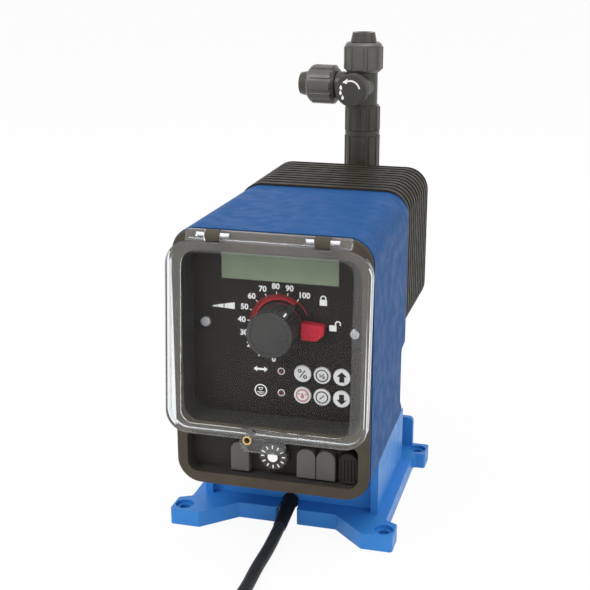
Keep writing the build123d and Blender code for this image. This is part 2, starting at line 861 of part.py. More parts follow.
stem_front = solenoid_front - 10.0
collar_thickness = 3.0
collar_radius = 9.0
stop_outer = 11.9
stop_inner = shaft_radius + gap
cup_front = stem_front - 4.0
cup_rim = solenoid_front - 0.5
cup_floor = 4.0
cup_wall = 2.2
shaft_front = knob_front + knob_skin + 0.2
with BuildPart() as stroke_shaft:
    with BuildSketch(facing(shaft_front)):
        with Locations((0, axis_z)):
            Circle(stroke_shaft_radius)
    extrude(amount=-(cup_front - cup_floor - shaft_front))
    with BuildSketch(facing(cup_front - cup_floor)):
        with Locations((0, axis_z)):
            Circle(stop_outer + cup_wall)
    extrude(amount=-(cup_rim - cup_front + cup_floor))
    with BuildSketch(facing(cup_rim)):
        with Locations((0, axis_z)):
            Circle(stop_outer + running)
    extrude(amount=cup_rim - cup_front, mode=Mode.SUBTRACT)
stroke_shaft.part.label = "stroke_shaft"
export_step(stroke_shaft.part, "parts/stroke_shaft.step")

stop_front = stem_front + collar_thickness + stroke + gap
stop_thickness = cup_rim - stop_front
with BuildPart() as stroke_stop:
    with BuildSketch(facing(stop_front)):
        with Locations((0, axis_z)):
            Circle(stop_outer)
            Circle(stop_inner, mode=Mode.SUBTRACT)
    extrude(amount=-stop_thickness)
stroke_stop.part.label = "stroke_stop"
export_step(stroke_stop.part, "parts/stroke_stop.step")

# ---------------------------------------------------------------- lower recess
trim_face = recess_depth - trim_stand - trim_length
with BuildPart() as trim_dial:
    with BuildSketch(facing(trim_face)):
        with Locations((0, trim_z)):
            Circle(trim_radius)
            with PolarLocations(trim_radius, 18):
                Circle(0.6, mode=Mode.SUBTRACT)
    extrude(amount=-trim_length)
    fillet(edges().group_by(Axis.Y)[0], 0.5)
    with BuildSketch(facing(trim_face - trim_boss)):
        with Locations((0, trim_z)):
            Circle(trim_boss_radius)
    extrude(amount=-trim_boss)
    with BuildSketch(facing(recess_depth - trim_stand)):
        with Locations((0, trim_z)):
            Circle(trim_stem)
    extrude(amount=-10)
trim_dial.part.label = "trim_dial"
export_step(trim_dial.part, "parts/trim_dial.step")


def cap_outline(x, width):
    """Round-topped outline of a socket cap, in the sketch being built."""
    with Locations((x, (cap_bottom + cap_top - width / 2) / 2)):
        Rectangle(width, cap_top - width / 2 - cap_bottom)
    with Locations((x, cap_top - width / 2)):
        Circle(width / 2)


with BuildPart() as caps:
    for x in cap_places:
        with BuildSketch(facing(cap_face)):
            cap_outline(x, cap_width)
        extrude(amount=-(recess_depth - cap_face))
    fillet(edges().group_by(Axis.Y)[0], 0.6)
    with BuildSketch(facing(recess_depth)):
        with Locations(*[(x, cap_z) for x in cap_places]):
            Circle(cap_stem)
    extrude(amount=-cap_stem_length)
caps.part.label = "socket_caps"
export_step(caps.part, "parts/socket_caps.step")

ribbed_cap_width = 10.6
with BuildPart() as ribbed_cap:
    with BuildSketch(facing(cap_face)):
        cap_outline(ribbed_cap_x, ribbed_cap_width)
        fillet(vertices().group_by(Axis.Y)[0], 3.0)
    extrude(amount=-(recess_depth - cap_face))
    for i in range(5):
        with BuildSketch(facing(cap_face)):
            with Locations((ribbed_cap_x + (i - 2) * 2.0, cap_z - 1)):
                Rectangle(0.7, cap_top - cap_bottom - 5)
        extrude(amount=-0.7, mode=Mode.SUBTRACT)
    with BuildSketch(facing(recess_depth)):
        with Locations((ribbed_cap_x, cap_z)):
            Circle(cap_stem)
    extrude(amount=-cap_stem_length)
ribbed_cap.part.label = "ribbed_cap"
export_step(ribbed_cap.part, "parts/ribbed_cap.step")

with BuildPart() as sockets:
    with BuildSketch(facing(recess_depth + recess_wall)):
        with Locations(*[(x, cap_z) for x in cap_places], (ribbed_cap_x, cap_z)):
            Circle(socket_radius)
    extrude(amount=-socket_length)
    with BuildSketch(facing(recess_depth + recess_wall)):
        with Locations(*[(x, cap_z) for x in cap_places], (ribbed_cap_x, cap_z)):
            Circle(cap_stem + loose)
    extrude(amount=-cap_stem_length, mode=Mode.SUBTRACT)
sockets.part.label = "sockets"
export_step(sockets.part, "parts/sockets.step")

# ---------------------------------------------------------------- clear cover and its hinge
lid_closed = Plane(origin=(0, at_depth(hinge_depth), hinge_z), x_dir=(1, 0, 0), z_dir=(0, -1, 0))
lid_plane = lid_closed.rotated((-lid_open, 0, 0))
lid_back = hinge_depth + gap            # closed, the rim stands this far off the bezel
lid_front = lid_back + lid_depth
lid_top = -(knuckle_radius + 0.6)
ridge_half = 50.5       # raised rib that runs round the face of the cover
ridge_width = 2.0
ridge_height = 0.9
ridge_low = 4.5         # from the lower edge
ridge_high = 3.5        # from the upper edge
ridge_corner = 9.5


def lid_slab(width, low, high, corner, level, thickness):
    """Slab of the cover between two heights over the hinge, from a level towards the back."""
    with BuildPart() as block:
        with BuildSketch(lid_plane.offset(level)):
            with Locations((0, (low + high) / 2)):
                RectangleRounded(width, high - low, corner)
        extrude(amount=-thickness)
    return block.part


def hinge_section(x):
    """Plane across the hinge at x: its x direction runs up the cover, its y direction to the front."""
    return Plane(origin=lid_plane.origin + Vector(x, 0, 0), x_dir=lid_plane.y_dir, z_dir=(1, 0, 0))


with BuildPart() as lid:
    add(lid_slab(lid_width, -lid_height, lid_top, lid_corner, lid_front, lid_depth))
    fillet(edges().group_by(Axis.Y)[0], 0.8)
    add(
        lid_slab(
            lid_width - 2 * lid_wall, -lid_height + lid_wall, lid_top + 1, lid_corner - lid_wall,
            lid_front - lid_plate, lid_depth,
        ),
        mode=Mode.SUBTRACT,
    )
    for inset, mode in ((0, Mode.ADD), (ridge_width, Mode.SUBTRACT)):
        add(
            lid_slab(
                2 * (ridge_half - inset), -lid_height + ridge_low + inset, lid_top - ridge_high - inset,
                ridge_corner - inset, lid_front + ridge_height, ridge_height,
            ),
            mode=mode,
        )
    with BuildSketch(lid_plane.offset(lid_front)):
        with Locations(((tab_left + tab_right) / 2, -lid_height - tab_drop / 2 + 3)):
            RectangleRounded(tab_right - tab_left, tab_drop + 6, 4.0)
    extrude(amount=-3.0)
    knuckle_edge = knuckle_x - knuckle_width / 2 - 0.5
    knuckle_far = knuckle_x + knuckle_width / 2 + 0.5
    barrel_end = lid_width / 2 - lid_corner + 1
    spans = [(-barrel_end, -knuckle_far), (-knuckle_edge, knuckle_edge), (knuckle_far, barrel_end)]
    for start, end in spans:
        with BuildSketch(hinge_section(start)):
            Circle(knuckle_radius - 0.2)
            with Locations((lid_top / 2 - 1, lid_front - lid_plate / 2)):
                Rectangle(-lid_top + 2, lid_plate)
        extrude(amount=end - start)
    for side in (-1, 1):
        with BuildSketch(hinge_section(side * knuckle_x - pin_length / 2 - 0.5)):
            Circle(pin_radius + running)
        extrude(amount=pin_length + 1, mode=Mode.SUBTRACT)
    tab_hole_drop = hinge_z - (cavity_bottom + recess_top) / 2
    with BuildSketch(lid_plane.offset(lid_front)):
        with Locations((tab_hole_x, -tab_hole_drop)):
            Circle(bush_radius + snug)
    extrude(amount=-lid_depth, mode=Mode.SUBTRACT)
lid.part.label = "clear_cover"
export_step(lid.part, "parts/clear_cover.step")

with BuildPart() as bush:
    with BuildSketch(lid_plane.offset(lid_front + 0.3)):
        with Locations((tab_hole_x, -tab_hole_drop)):
            Circle(bush_radius)
            Circle(bush_bore, mode=Mode.SUBTRACT)
    extrude(amount=-(lid_plate + 1.2))
bush.part.label = "cover_bush"
export_step(bush.part, "parts/cover_bush.step")

with BuildPart() as hinge_pins:
    for side in (-1, 1):
        with BuildSketch(Plane.YZ.offset(side * knuckle_x - pin_length / 2)):
            with Locations((at_depth(hinge_depth), hinge_z)):
                Circle(pin_radius)
        extrude(amount=pin_length)
hinge_pins.part.label = "hinge_pins"
export_step(hinge_pins.part, "parts/hinge_pins.step")

# ---------------------------------------------------------------- circuit board
with BuildPart() as board:
    add(upright_slab(2 * 49, 79, 174, 4, board_depth, board_thickness))
    with BuildSketch(facing(board_depth)):
        with Locations((0, axis_z)):
            Circle(stroke_shaft_radius + 2)
    extrude(amount=-board_thickness, mode=Mode.SUBTRACT)
    board_back = board_depth + board_thickness
    for x, z, width, height, length in (
        (-30, 95, 26, 18, 20), (2, 92, 14, 14, 12), (28, 155, 22, 14, 9), (-28, 157, 24, 16, 15)
    ):
        with BuildSketch(facing(board_back)):
            with Locations((x, z)):
                Rectangle(width, height)
        extrude(amount=-length)
    with BuildSketch(facing(board_back)):
        with Locations((24, 96), (36, 96)):
            Circle(5)
    extrude(amount=-24)
    for x, z in key_places:
        with BuildSketch(facing(board_depth)):
            with Locations((x, z)):
                Rectangle(switch_side, switch_side)
        extrude(amount=switch_height)
board.part.label = "circuit_board"
export_step(board.part, "parts/circuit_board.step")


# ---------------------------------------------------------------- solenoid
can_inner = solenoid_radius - can_wall
bobbin_bore = armature_radius + 0.3
with BuildPart() as can:
    add(ring(solenoid_radius, can_inner, solenoid_front, solenoid_length))
    add(ring(can_inner, bobbin_bore, solenoid_front, can_wall))
can.part.label = "solenoid_can"
export_step(can.part, "parts/solenoid_can.step")

pole_length = 16.0
pole_front = solenoid_back - can_wall - pole_length
spring_pocket = 8.0
with BuildPart() as pole:
    add(ring(can_inner - 0.05, shaft_radius + running, solenoid_back - can_wall, can_wall))
    add(ring(armature_radius - 0.2, shaft_radius + running, pole_front, pole_length))
    add(disc(spring_pocket, pole_front, 12.0), mode=Mode.SUBTRACT)
pole.part.label = "pole_plate"
export_step(pole.part, "parts/pole_plate.step")

bobbin_front = solenoid_front + can_wall + 0.1
bobbin_length = solenoid_length - 2 * can_wall - 0.2
with BuildPart() as bobbin:
    add(ring(bobbin_bore + 1.5, bobbin_bore, bobbin_front, bobbin_length))
    add(ring(can_inner - 0.2, bobbin_bore, bobbin_front, 2))
    add(ring(can_inner - 0.2, bobbin_bore, bobbin_front + bobbin_length - 2, 2))
bobbin.part.label = "coil_bobbin"
export_step(bobbin.part, "parts/coil_bobbin.step")

with BuildPart() as winding:
    add(ring(can_inner - 1.5, bobbin_bore + 1.55, bobbin_front + 2.05, bobbin_length - 4.1))
winding.part.label = "coil_winding"
export_step(winding.part, "parts/coil_winding.step")

with BuildPart() as bracket:
    add(upright_slab(2 * bracket_half, rear_bottom + 5, rear_top - 5, 8, bracket_depth, bracket_thickness))
    with BuildSketch(facing(bracket_depth)):
        with Locations((0, axis_z)):
            Circle(solenoid_radius + snug)
        with Locations(*cover_screw_places):
            Circle(cover_screw_radius + 2 * screw_air)
    extrude(amount=-bracket_thickness, mode=Mode.SUBTRACT)
bracket.part.label = "solenoid_bracket"
export_step(bracket.part, "parts/solenoid_bracket.step")

armature_back = pole_front - stroke - 0.5
with BuildPart() as armature:
    add(disc(armature_radius, solenoid_front + 5, armature_back - solenoid_front - 5))
    add(disc(shaft_radius, stem_front, 15))
    add(disc(collar_radius, stem_front, collar_thickness))
armature.part.label = "armature"
export_step(armature.part, "parts/armature.step")

with BuildPart() as pump_shaft:
    add(disc(shaft_radius, armature_back, adapter_back - armature_back))
pump_shaft.part.label = "pump_shaft"
export_step(pump_shaft.part, "parts/pump_shaft.step")

wire_radius = 0.8
spring_radius = 6.3
spring_turns = 6
spring_length = pole_front + 12.0 - armature_back - 2 * wire_radius
with BuildPart() as spring:
    with BuildLine():
        spring_start = (0, at_depth(armature_back + wire_radius), axis_z)
        spring_pitch = spring_length / spring_turns
        spring_path = Helix(
            spring_pitch, spring_length, spring_radius, center=spring_start, direction=(0, 1, 0)
        )
    with BuildSketch(Plane(origin=spring_path @ 0, z_dir=spring_path % 0)):
        Circle(wire_radius)
    sweep()
spring.part.label = "return_spring"
export_step(spring.part, "parts/return_spring.step")

# ---------------------------------------------------------------- adapter, diaphragm and pump head
bush_outer = 7.0
bush_front = rear_end - rear_plate - 2
bush_length = 11.5
with BuildPart() as guide_bush:
    add(ring(bush_outer, shaft_radius + running, bush_front, bush_length))
    add(ring(bush_outer + 2, shaft_radius + running, bush_front, 2.0))
guide_bush.part.label = "guide_bush"
export_step(guide_bush.part, "parts/guide_bush.step")


seal_front = bush_front + bush_length
with BuildPart() as adapter:
    add(upright_slab(head_side, head_bottom, head_top, head_corner, rear_end, adapter_length))
    add(disc(spigot_outer, rear_end - rear_plate, rear_plate))
    add(
        disc(
            bush_outer + snug, rear_end - rear_plate, seal_front - rear_end + rear_plate,
        ),
        mode=Mode.SUBTRACT,
    )
    add(disc(spigot_outer, seal_front, adapter_back - seal_front), mode=Mode.SUBTRACT)
    add(disc(diaphragm_chamber, adapter_back - 6, 6), mode=Mode.SUBTRACT)
    add(rods(bolt_places, bolt_radius + gap, rear_end, adapter_length), mode=Mode.SUBTRACT)
adapter.part.label = "adapter_plate"
export_step(adapter.part, "parts/adapter_plate.step")

with BuildPart() as seal:
    add(ring(spigot_outer - snug, shaft_radius + 2 * snug, seal_front, 1.5))
seal.part.label = "secondary_seal"
export_step(seal.part, "parts/secondary_seal.step")

diaphragm_radius = 29.0
with BuildPart() as diaphragm:
    add(disc(diaphragm_radius, adapter_back, diaphragm_thickness))
    add(ring(9, shaft_radius + snug, adapter_back - 5, 5))
diaphragm.part.label = "diaphragm"
export_step(diaphragm.part, "parts/diaphragm.step")

head_bore = 4.0
ring_groove_radius = 11.4
ring_groove_depth = 1.9
with BuildPart() as head:
    add(upright_slab(head_side, head_bottom, head_top, head_corner, head_front, flange_thickness))
    with BuildSketch(bore_at(barrel_bottom)):
        Circle(barrel_radius)
    extrude(amount=2 * barrel_half)
    add(disc(20, head_front + flange_thickness, valve_depth - head_front - flange_thickness))
    add(disc(diaphragm_chamber, head_front, 3.5), mode=Mode.SUBTRACT)
    add(disc(head_bore, head_front, valve_depth - head_front), mode=Mode.SUBTRACT)
    with BuildSketch(bore_at(barrel_bottom)):
        Circle(head_bore)
    extrude(amount=2 * barrel_half, mode=Mode.SUBTRACT)
    for z, side in ((barrel_top, -1), (barrel_bottom, 1)):
        with BuildSketch(bore_at(z, side)):
            Circle(spigot_radius + snug)
        extrude(amount=spigot_length + 1, mode=Mode.SUBTRACT)
        with BuildSketch(bore_at(z, side)):
            Circle(ring_groove_radius)
        extrude(amount=ring_groove_depth, mode=Mode.SUBTRACT)
    add(rods(bolt_places, bolt_radius + gap, head_front, flange_thickness), mode=Mode.SUBTRACT)
head.part.label = "pump_head"
export_step(head.part, "parts/pump_head.step")

head_back = head_front + flange_thickness
with BuildPart() as head_screws:
    with BuildSketch(facing(head_back + bolt_washer + bolt_head_height)):
        with Locations(*bolt_places):
            Circle(bolt_head)
            RegularPolygon(bolt_hex, 6, mode=Mode.SUBTRACT)
    extrude(amount=bolt_head_height)
    with BuildSketch(facing(head_back + bolt_washer)):
        with Locations(*bolt_places):
            Circle(bolt_head)
    extrude(amount=bolt_washer)
    with BuildSketch(facing(head_back)):
        with Locations(*bolt_places):
            Circle(bolt_radius)
    extrude(amount=head_back - rear_end + rear_plate + bolt_bite)
head_screws.part.label = "head_screws"
export_step(head_screws.part, "parts/head_screws.step")

# ---------------------------------------------------------------- valves
seat_radius = 7.0
ball_seat_rise = math.sqrt(ball_radius ** 2 - seat_bore ** 2) + 0.03
chamber_radius = ball_radius + 0.9
suction_stop = barrel_bottom + spigot_length + 1 - math.sqrt(ball_radius ** 2 - head_bore ** 2)
suction_ball_z = suction_stop - ball_lift - 0.1
suction_seat_top = suction_ball_z - ball_seat_rise
discharge_seat_top = barrel_top - spigot_length + seat_thickness
discharge_ball_z = discharge_seat_top + ball_seat_rise


with BuildPart() as discharge_cartridge:
    add(upright_cylinder(cartridge_radius - 0.9, barrel_top, cartridge_top))
    add(fluted_cylinder(cartridge_radius, barrel_top + 3, cartridge_top - 4, flutes))
    add(upright_cylinder(cartridge_radius - 0.3, cartridge_top - 3.2, cartridge_top))
    add(upright_cylinder(spigot_radius, barrel_top - spigot_length, barrel_top))
    add(upright_cylinder(spigot_radius, cartridge_top, cartridge_top + nipple_length))
    add(
        upright_cylinder(
            flow_radius, barrel_top - spigot_length, cartridge_top + nipple_length,
        ),
        mode=Mode.SUBTRACT,
    )
    add(
        upright_cylinder(
            seat_radius + snug, barrel_top - spigot_length, discharge_seat_top,
        ),
        mode=Mode.SUBTRACT,
    )
    chamber_top = discharge_ball_z + ball_radius + ball_lift + 0.1
    add(upright_cylinder(chamber_radius, discharge_seat_top, chamber_top), mode=Mode.SUBTRACT)
discharge_cartridge.part.label = "discharge_cartridge"
export_step(discharge_cartridge.part, "parts/discharge_cartridge.step")

with BuildPart() as suction_cartridge:
    add(upright_cylinder(cartridge_radius - 0.9, cartridge_bottom, barrel_bottom))
    add(fluted_cylinder(cartridge_radius, cartridge_bottom + 4, barrel_bottom - 3, flutes))
    add(upright_cylinder(cartridge_radius - 0.3, cartridge_bottom, cartridge_bottom + 3.2))
    add(upright_cylinder(spigot_radius, barrel_bottom, barrel_bottom + spigot_length))
    add(upright_cylinder(spigot_radius, cartridge_bottom - nipple_length, cartridge_bottom))
    add(
        upright_cylinder(
            flow_radius, cartridge_bottom - nipple_length, barrel_bottom + spigot_length,
        ),
        mode=Mode.SUBTRACT,
    )
    add(
        upright_cylinder(
            seat_radius + snug, suction_seat_top - seat_thickness, barrel_bottom + spigot_length,
        ),
        mode=Mode.SUBTRACT,
    )
suction_cartridge.part.label = "suction_cartridge"
export_step(suction_cartridge.part, "parts/suction_cartridge.step")

with BuildPart() as seats:
    for top in (suction_seat_top, discharge_seat_top):
        with BuildSketch(bore_at(top - seat_thickness)):
            Circle(seat_radius)
            Circle(seat_bore, mode=Mode.SUBTRACT)
        extrude(amount=seat_thickness)
seats.part.label = "valve_seats"
export_step(seats.part, "parts/valve_seats.step")

for name, z in (("suction_ball", suction_ball_z), ("discharge_ball", discharge_ball_z)):
    with BuildPart() as ball:
        with Locations((0, at_depth(valve_depth), z)):
            Sphere(ball_radius)
    ball.part.label = name
    export_step(ball.part, "parts/" + name + ".step")

with BuildPart() as o_rings:
    ring_middle = ring_groove_depth / 2
    ring_heights = (barrel_top - ring_middle, barrel_bottom + ring_middle)
    with Locations(*[(0, at_depth(valve_depth), z) for z in ring_heights]):
        Torus((spigot_radius + ring_groove_radius) / 2, ring_middle - 0.02)
o_rings.part.label = "o_rings"
export_step(o_rings.part, "parts/o_rings.step")

# ---------------------------------------------------------------- bleed valve on the discharge side
twist = math.radians(valve_twist)
valve_y = at_depth(valve_depth)
left_way = Vector(-math.cos(twist), math.sin(twist), 0)
front_way = Vector(-math.sin(twist), -math.cos(twist), 0)
branch_centre = Vector(0, valve_y, cartridge_top + branch_z)
left_plane = Plane(origin=branch_centre, x_dir=(0, 0, 1), z_dir=left_way)
front_plane = Plane(origin=branch_centre, x_dir=left_way * -1, z_dir=front_way)
neck_top = cartridge_top + bleed_height
branch_end = 18.5
bleed_bore = 3.0        # side outlet, and the stem of the bleed knob
stem_bore_end = 5.0     # the knob's stem bore stops this far from the upright axis
bonnet_end = bleed_knob_face - bleed_knob_thickness - gap
with BuildPart() as bleed_body:
    add(
        fluted_cylinder(
            cartridge_radius - 0.1, cartridge_top + gap, cartridge_top + skirt_length - 1.2, flutes,
        ),
    )
    add(upright_cylinder(cartridge_radius - 1.0, cartridge_top + gap, cartridge_top + skirt_length))
    add(upright_cylinder(branch_radius, cartridge_top + skirt_length, neck_top))
    add(upright_cylinder(spigot_radius, neck_top, neck_top + nipple_length))
    with BuildSketch(left_plane):
        Circle(branch_radius - 0.8)
    extrude(amount=branch_end)
    with BuildSketch(left_plane.offset(branch_end)):
        Circle(spigot_radius)
    extrude(amount=nipple_length)
    with BuildSketch(front_plane):
        Circle(branch_radius - 0.8)
    extrude(amount=bonnet_end)
    add(
        upright_cylinder(
            spigot_radius + snug, cartridge_top + gap, cartridge_top + nipple_length + gap,
        ),
        mode=Mode.SUBTRACT,
    )
    add(upright_cylinder(flow_radius, cartridge_top, neck_top + nipple_length), mode=Mode.SUBTRACT)
    with BuildSketch(left_plane):
        Circle(bleed_bore)
    extrude(amount=branch_end + nipple_length, mode=Mode.SUBTRACT)
    with BuildSketch(front_plane.offset(stem_bore_end)):
        Circle(bleed_bore + running)
    extrude(amount=bonnet_end - stem_bore_end, mode=Mode.SUBTRACT)
bleed_body.part.label = "bleed_valve_body"
export_step(bleed_body.part, "parts/bleed_valve_body.step")

with BuildPart() as bleed_knob:
    with BuildSketch(front_plane.offset(bonnet_end + gap)):
        Circle(bleed_knob_radius)
    extrude(amount=bleed_knob_thickness)
    fillet(faces().sort_by(Axis(branch_centre, front_way))[-1].edges(), 1.0)
    with BuildSketch(front_plane.offset(stem_bore_end + 1)):
        Circle(bleed_bore)
    extrude(amount=bonnet_end + gap - stem_bore_end - 1)
bleed_knob.part.label = "bleed_knob"
export_step(bleed_knob.part, "parts/bleed_knob.step")


def nut_on(plane):
    """Fluted tube nut that starts at a plane and runs along its normal."""
    with BuildPart() as nut:
        with BuildSketch(plane):
            Circle(nut_radius - 0.9)
        extrude(amount=nut_length)
        chamfer(edges().filter_by(GeomType.CIRCLE), 1.6)
        with BuildSketch(plane.offset(2.2)):
            Circle(nut_radius)
            with PolarLocations(nut_radius + 0.5, 10):
                Circle(1.9, mode=Mode.SUBTRACT)
        extrude(amount=nut_length - 5.2)
        with BuildSketch(plane):
            Circle(spigot_radius + 0.15)
        extrude(amount=nipple_length + 0.6, mode=Mode.SUBTRACT)
        with BuildSketch(plane):
            Circle(collet_neck + 0.2)
        extrude(amount=nut_length, mode=Mode.SUBTRACT)
    return nut.part


nut_start = 0.4
top_nut_plane = bore_at(neck_top + nut_start)
suction_nut_plane = bore_at(cartridge_bottom - nut_start, -1)
side_nut_plane = left_plane.offset(branch_end + nut_start)
for name, plane in (
    ("discharge_nut", top_nut_plane), ("suction_nut", suction_nut_plane), ("bleed_nut", side_nut_plane)
):
    nut_part = nut_on(plane)
    nut_part.label = name
    export_step(nut_part, "parts/" + name + ".step")

collet_start = nipple_length - nut_start + 0.2
with BuildPart() as collets:
    for plane in (top_nut_plane, suction_nut_plane, side_nut_plane):
        with BuildSketch(plane.offset(collet_start)):
            Circle(collet_neck)
        extrude(amount=nut_length - collet_start + 0.3)
        with BuildSketch(plane.offset(nut_length + 0.3)) as head_sketch:
            Circle(collet_head)
        extrude(amount=collet_out, taper=12)
        with BuildSketch(plane.offset(collet_start)):
            Circle(tube_radius)
        extrude(amount=nut_length + collet_out + 1, mode=Mode.SUBTRACT)
collets.part.label = "tube_collets"
export_step(collets.part, "parts/tube_collets.step")

# ---------------------------------------------------------------- cord
cord_route = [
    (boot_tip[0], at_depth(saddle_front - boot_reach), boot_tip[1]),
    (0.2, -85, 3.8),
    (-0.6, -109, 3.6),
    (0.4, -133, 3.6),
    (-1.5, -156, 3.6),
    (-1.0, -176, 3.6),
]
tail_route = [
    (75.2, -254.8, 10.4),
    (88, -253.7, 9.6),
    (99.9, -248.7, 9.1),
    (109.8, -240.2, 8.9),
    (116.5, -229.1, 9.0),
    (119.5, -216.4, 9.3),
    (119.4, -205.4, 9.8),
]
tip_plane = Plane(origin=cord_route[0], z_dir=Vector(*cord_route[1]) - Vector(*cord_route[0]))
with BuildPart() as boot:
    with BuildSketch(facing(saddle_front - 1.5)):
        with Locations((boot_x, boot_z)):
            Circle(boot_neck - 0.1)
    with BuildSketch(tip_plane):
        Circle(cord_radius + 0.4)
    loft()
    add(rods([(boot_x, boot_z)], boot_flange, saddle_front - 1.5, 1.5))
    add(rods([(boot_x, boot_z)], boot_neck, saddle_front, saddle_wall))
    add(rods([(boot_x, boot_z)], boot_clamp, saddle_front + saddle_wall, 2.5))
    add(rods([(boot_x, boot_z)], boot_neck, saddle_front + saddle_wall, 12))
boot.part.label = "strain_relief"
export_step(boot.part, "parts/strain_relief.step")

coil_centre = (43, -208)


def bend_radii(points, share=0.45):
    """Largest arc at each inner point that its two runs allow."""
    radii = []
    for before, here, after in zip(points, points[1:], points[2:]):
        first = Vector(*here) - Vector(*before)
        second = Vector(*after) - Vector(*here)
        half_turn = math.radians(first.get_angle(second)) / 2
        radii.append(share * min(first.length, second.length) / math.tan(half_turn))
    return radii


for name, route in (("power_cord", cord_route), ("cord_tail", tail_route)):
    radii = bend_radii(route)
    with BuildPart() as cord:
        with BuildLine():
            cord_path = FilletPolyline(*route, radius=radii)
        with BuildSketch(Plane(origin=cord_path @ 0, z_dir=cord_path % 0)):
            Circle(cord_radius)
        sweep()
    section = math.pi * cord_radius ** 2
    print(name, "radii", [round(r) for r in radii])
    print("volume", round(cord.part.volume), "section by length", round(section * cord_path.length))
    cord.part.label = name
    export_step(cord.part, "parts/" + name + ".step")

# The spare length of the cord lies in a ring of turns, ahead of the pump.
coil_width = 2 * cord_radius * coil_columns
with BuildPart() as coil:
    with BuildSketch():
        with Locations(coil_centre):
            Circle(coil_radius + coil_width / 2)
            Circle(coil_radius - coil_width / 2, mode=Mode.SUBTRACT)
    extrude(amount=2 * cord_radius * coil_layers)
    fillet(edges(), cord_radius - 0.1)
coil.part.label = "cord_coil"
export_step(coil.part, "parts/cord_coil.step")

plug_way = Vector(*tail_route[-1]) - Vector(*tail_route[-2])
plug_start = Plane(origin=tail_route[-1], z_dir=plug_way)
plug_plane = Plane(origin=tail_route[-1], x_dir=(0, 0, 1), z_dir=(plug_way.X, plug_way.Y, 0))
plug_boot = 16.0
with BuildPart() as plug:
    with BuildSketch(plug_start):
        Circle(cord_radius + 1.0)
    with BuildSketch(plug_plane.offset(plug_boot)):
        Circle(6.5)
    loft()
    with BuildSketch(plug_plane.offset(plug_boot)):
        RectangleRounded(plug_height * 0.8, plug_width * 0.8, 5)
    with BuildSketch(plug_plane.offset(plug_boot + 8)):
        RectangleRounded(plug_height, plug_width, 6)
    loft()
    with BuildSketch(plug_plane.offset(plug_boot + 8)):
        RectangleRounded(plug_height, plug_width, 6)
    extrude(amount=plug_length - 8)
    with BuildSketch(plug_plane.offset(plug_boot + plug_length)):
        with Locations((1.5, -6.35), (1.5, 6.35)):
            Rectangle(6.3, 1.5)
    extrude(amount=16)
    with BuildSketch(plug_plane.offset(plug_boot + plug_length)):
        with Locations((-6.0, 0)):
            Circle(2.4)
    extrude(amount=18)
plug.part.label = "power_plug"
export_step(plug.part, "parts/power_plug.step")
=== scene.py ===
import math

import bpy
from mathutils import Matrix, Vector


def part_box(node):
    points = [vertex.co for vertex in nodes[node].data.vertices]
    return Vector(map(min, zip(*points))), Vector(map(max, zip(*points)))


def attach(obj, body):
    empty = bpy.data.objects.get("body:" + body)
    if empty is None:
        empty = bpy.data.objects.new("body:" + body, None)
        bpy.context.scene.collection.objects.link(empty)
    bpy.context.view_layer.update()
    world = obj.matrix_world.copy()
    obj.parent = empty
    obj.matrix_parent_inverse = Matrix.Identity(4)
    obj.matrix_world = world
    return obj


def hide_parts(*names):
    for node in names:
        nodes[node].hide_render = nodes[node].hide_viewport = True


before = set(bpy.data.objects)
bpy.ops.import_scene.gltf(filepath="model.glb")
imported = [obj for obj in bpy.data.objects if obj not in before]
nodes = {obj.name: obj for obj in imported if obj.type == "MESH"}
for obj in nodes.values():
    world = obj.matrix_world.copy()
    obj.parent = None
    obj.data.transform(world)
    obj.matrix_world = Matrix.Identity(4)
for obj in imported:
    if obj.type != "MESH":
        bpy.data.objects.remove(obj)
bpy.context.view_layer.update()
MM = 0.001

# ---------------------------------------------------------------- places, in millimetres
FRONT_Y = -81.0                 # front face of the bezel
AXIS_Z = 133.0                  # knob axis
VALVE_Y = 154.0                 # upright axis of the valves
BRANCH_Z = 240.5                # bleed valve
TWIST = math.radians(6.0)       # turn of the bleed valve about its thread
KEY_X = (13.7, 25.2, 36.7)
KEY_Z = (104.4, 91.2)
LAMP_X = 0.9
ICON_X = -11.4
TRIM_Z = 57.5
OPENING_HALF = 52.0             # the openings of the bezel lie inside these limits
OPENING_LOW = 44.0
OPENING_HIGH = 179.0
FACE_LIP = 1.0                  # depth of the face colour round the openings, in front of the painted shade
WINDOW_Z = 130.15               # clear window of the cover, inside its raised rib
WINDOW_HALF_X = 48.5
WINDOW_HALF_Z = 48.95
WINDOW_CORNER = 7.5
RIM_SHEEN = 0.05                    # share of painted sheen in the cover's rim: a whitish diffuse layer for the reflections on it
PRINT = 0.05                    # thickness of printed marks
SCALE_TOP = 54.0                # direction of the 100 mark, degrees
SCALE_STEP = 20.7               # degrees between numbers


def face_of(node, side=0, axis=1):
    """Coordinate of a CAD node's lowest (0) or highest (1) face along an axis, in millimetres."""
    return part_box(node)[side][axis] / MM


# ---------------------------------------------------------------- materials
def shader_of(name):
    material = bpy.data.materials.new(name)
    material.use_nodes = True
    return material, material.node_tree.nodes, material.node_tree.links


def srgb(red, green, blue):
    """Linear colour of an 8-bit screen colour."""
    channels = []
    for value in (red, green, blue):
        value /= 255
        channels.append(value / 12.92 if value <= 0.04045 else ((value + 0.055) / 1.055) ** 2.4)
    return (*channels, 1.0)


def shaded(color, factor):
    """The same colour, lighter or darker."""
    return (*[min(1.0, c * factor) for c in color[:3]], 1.0)


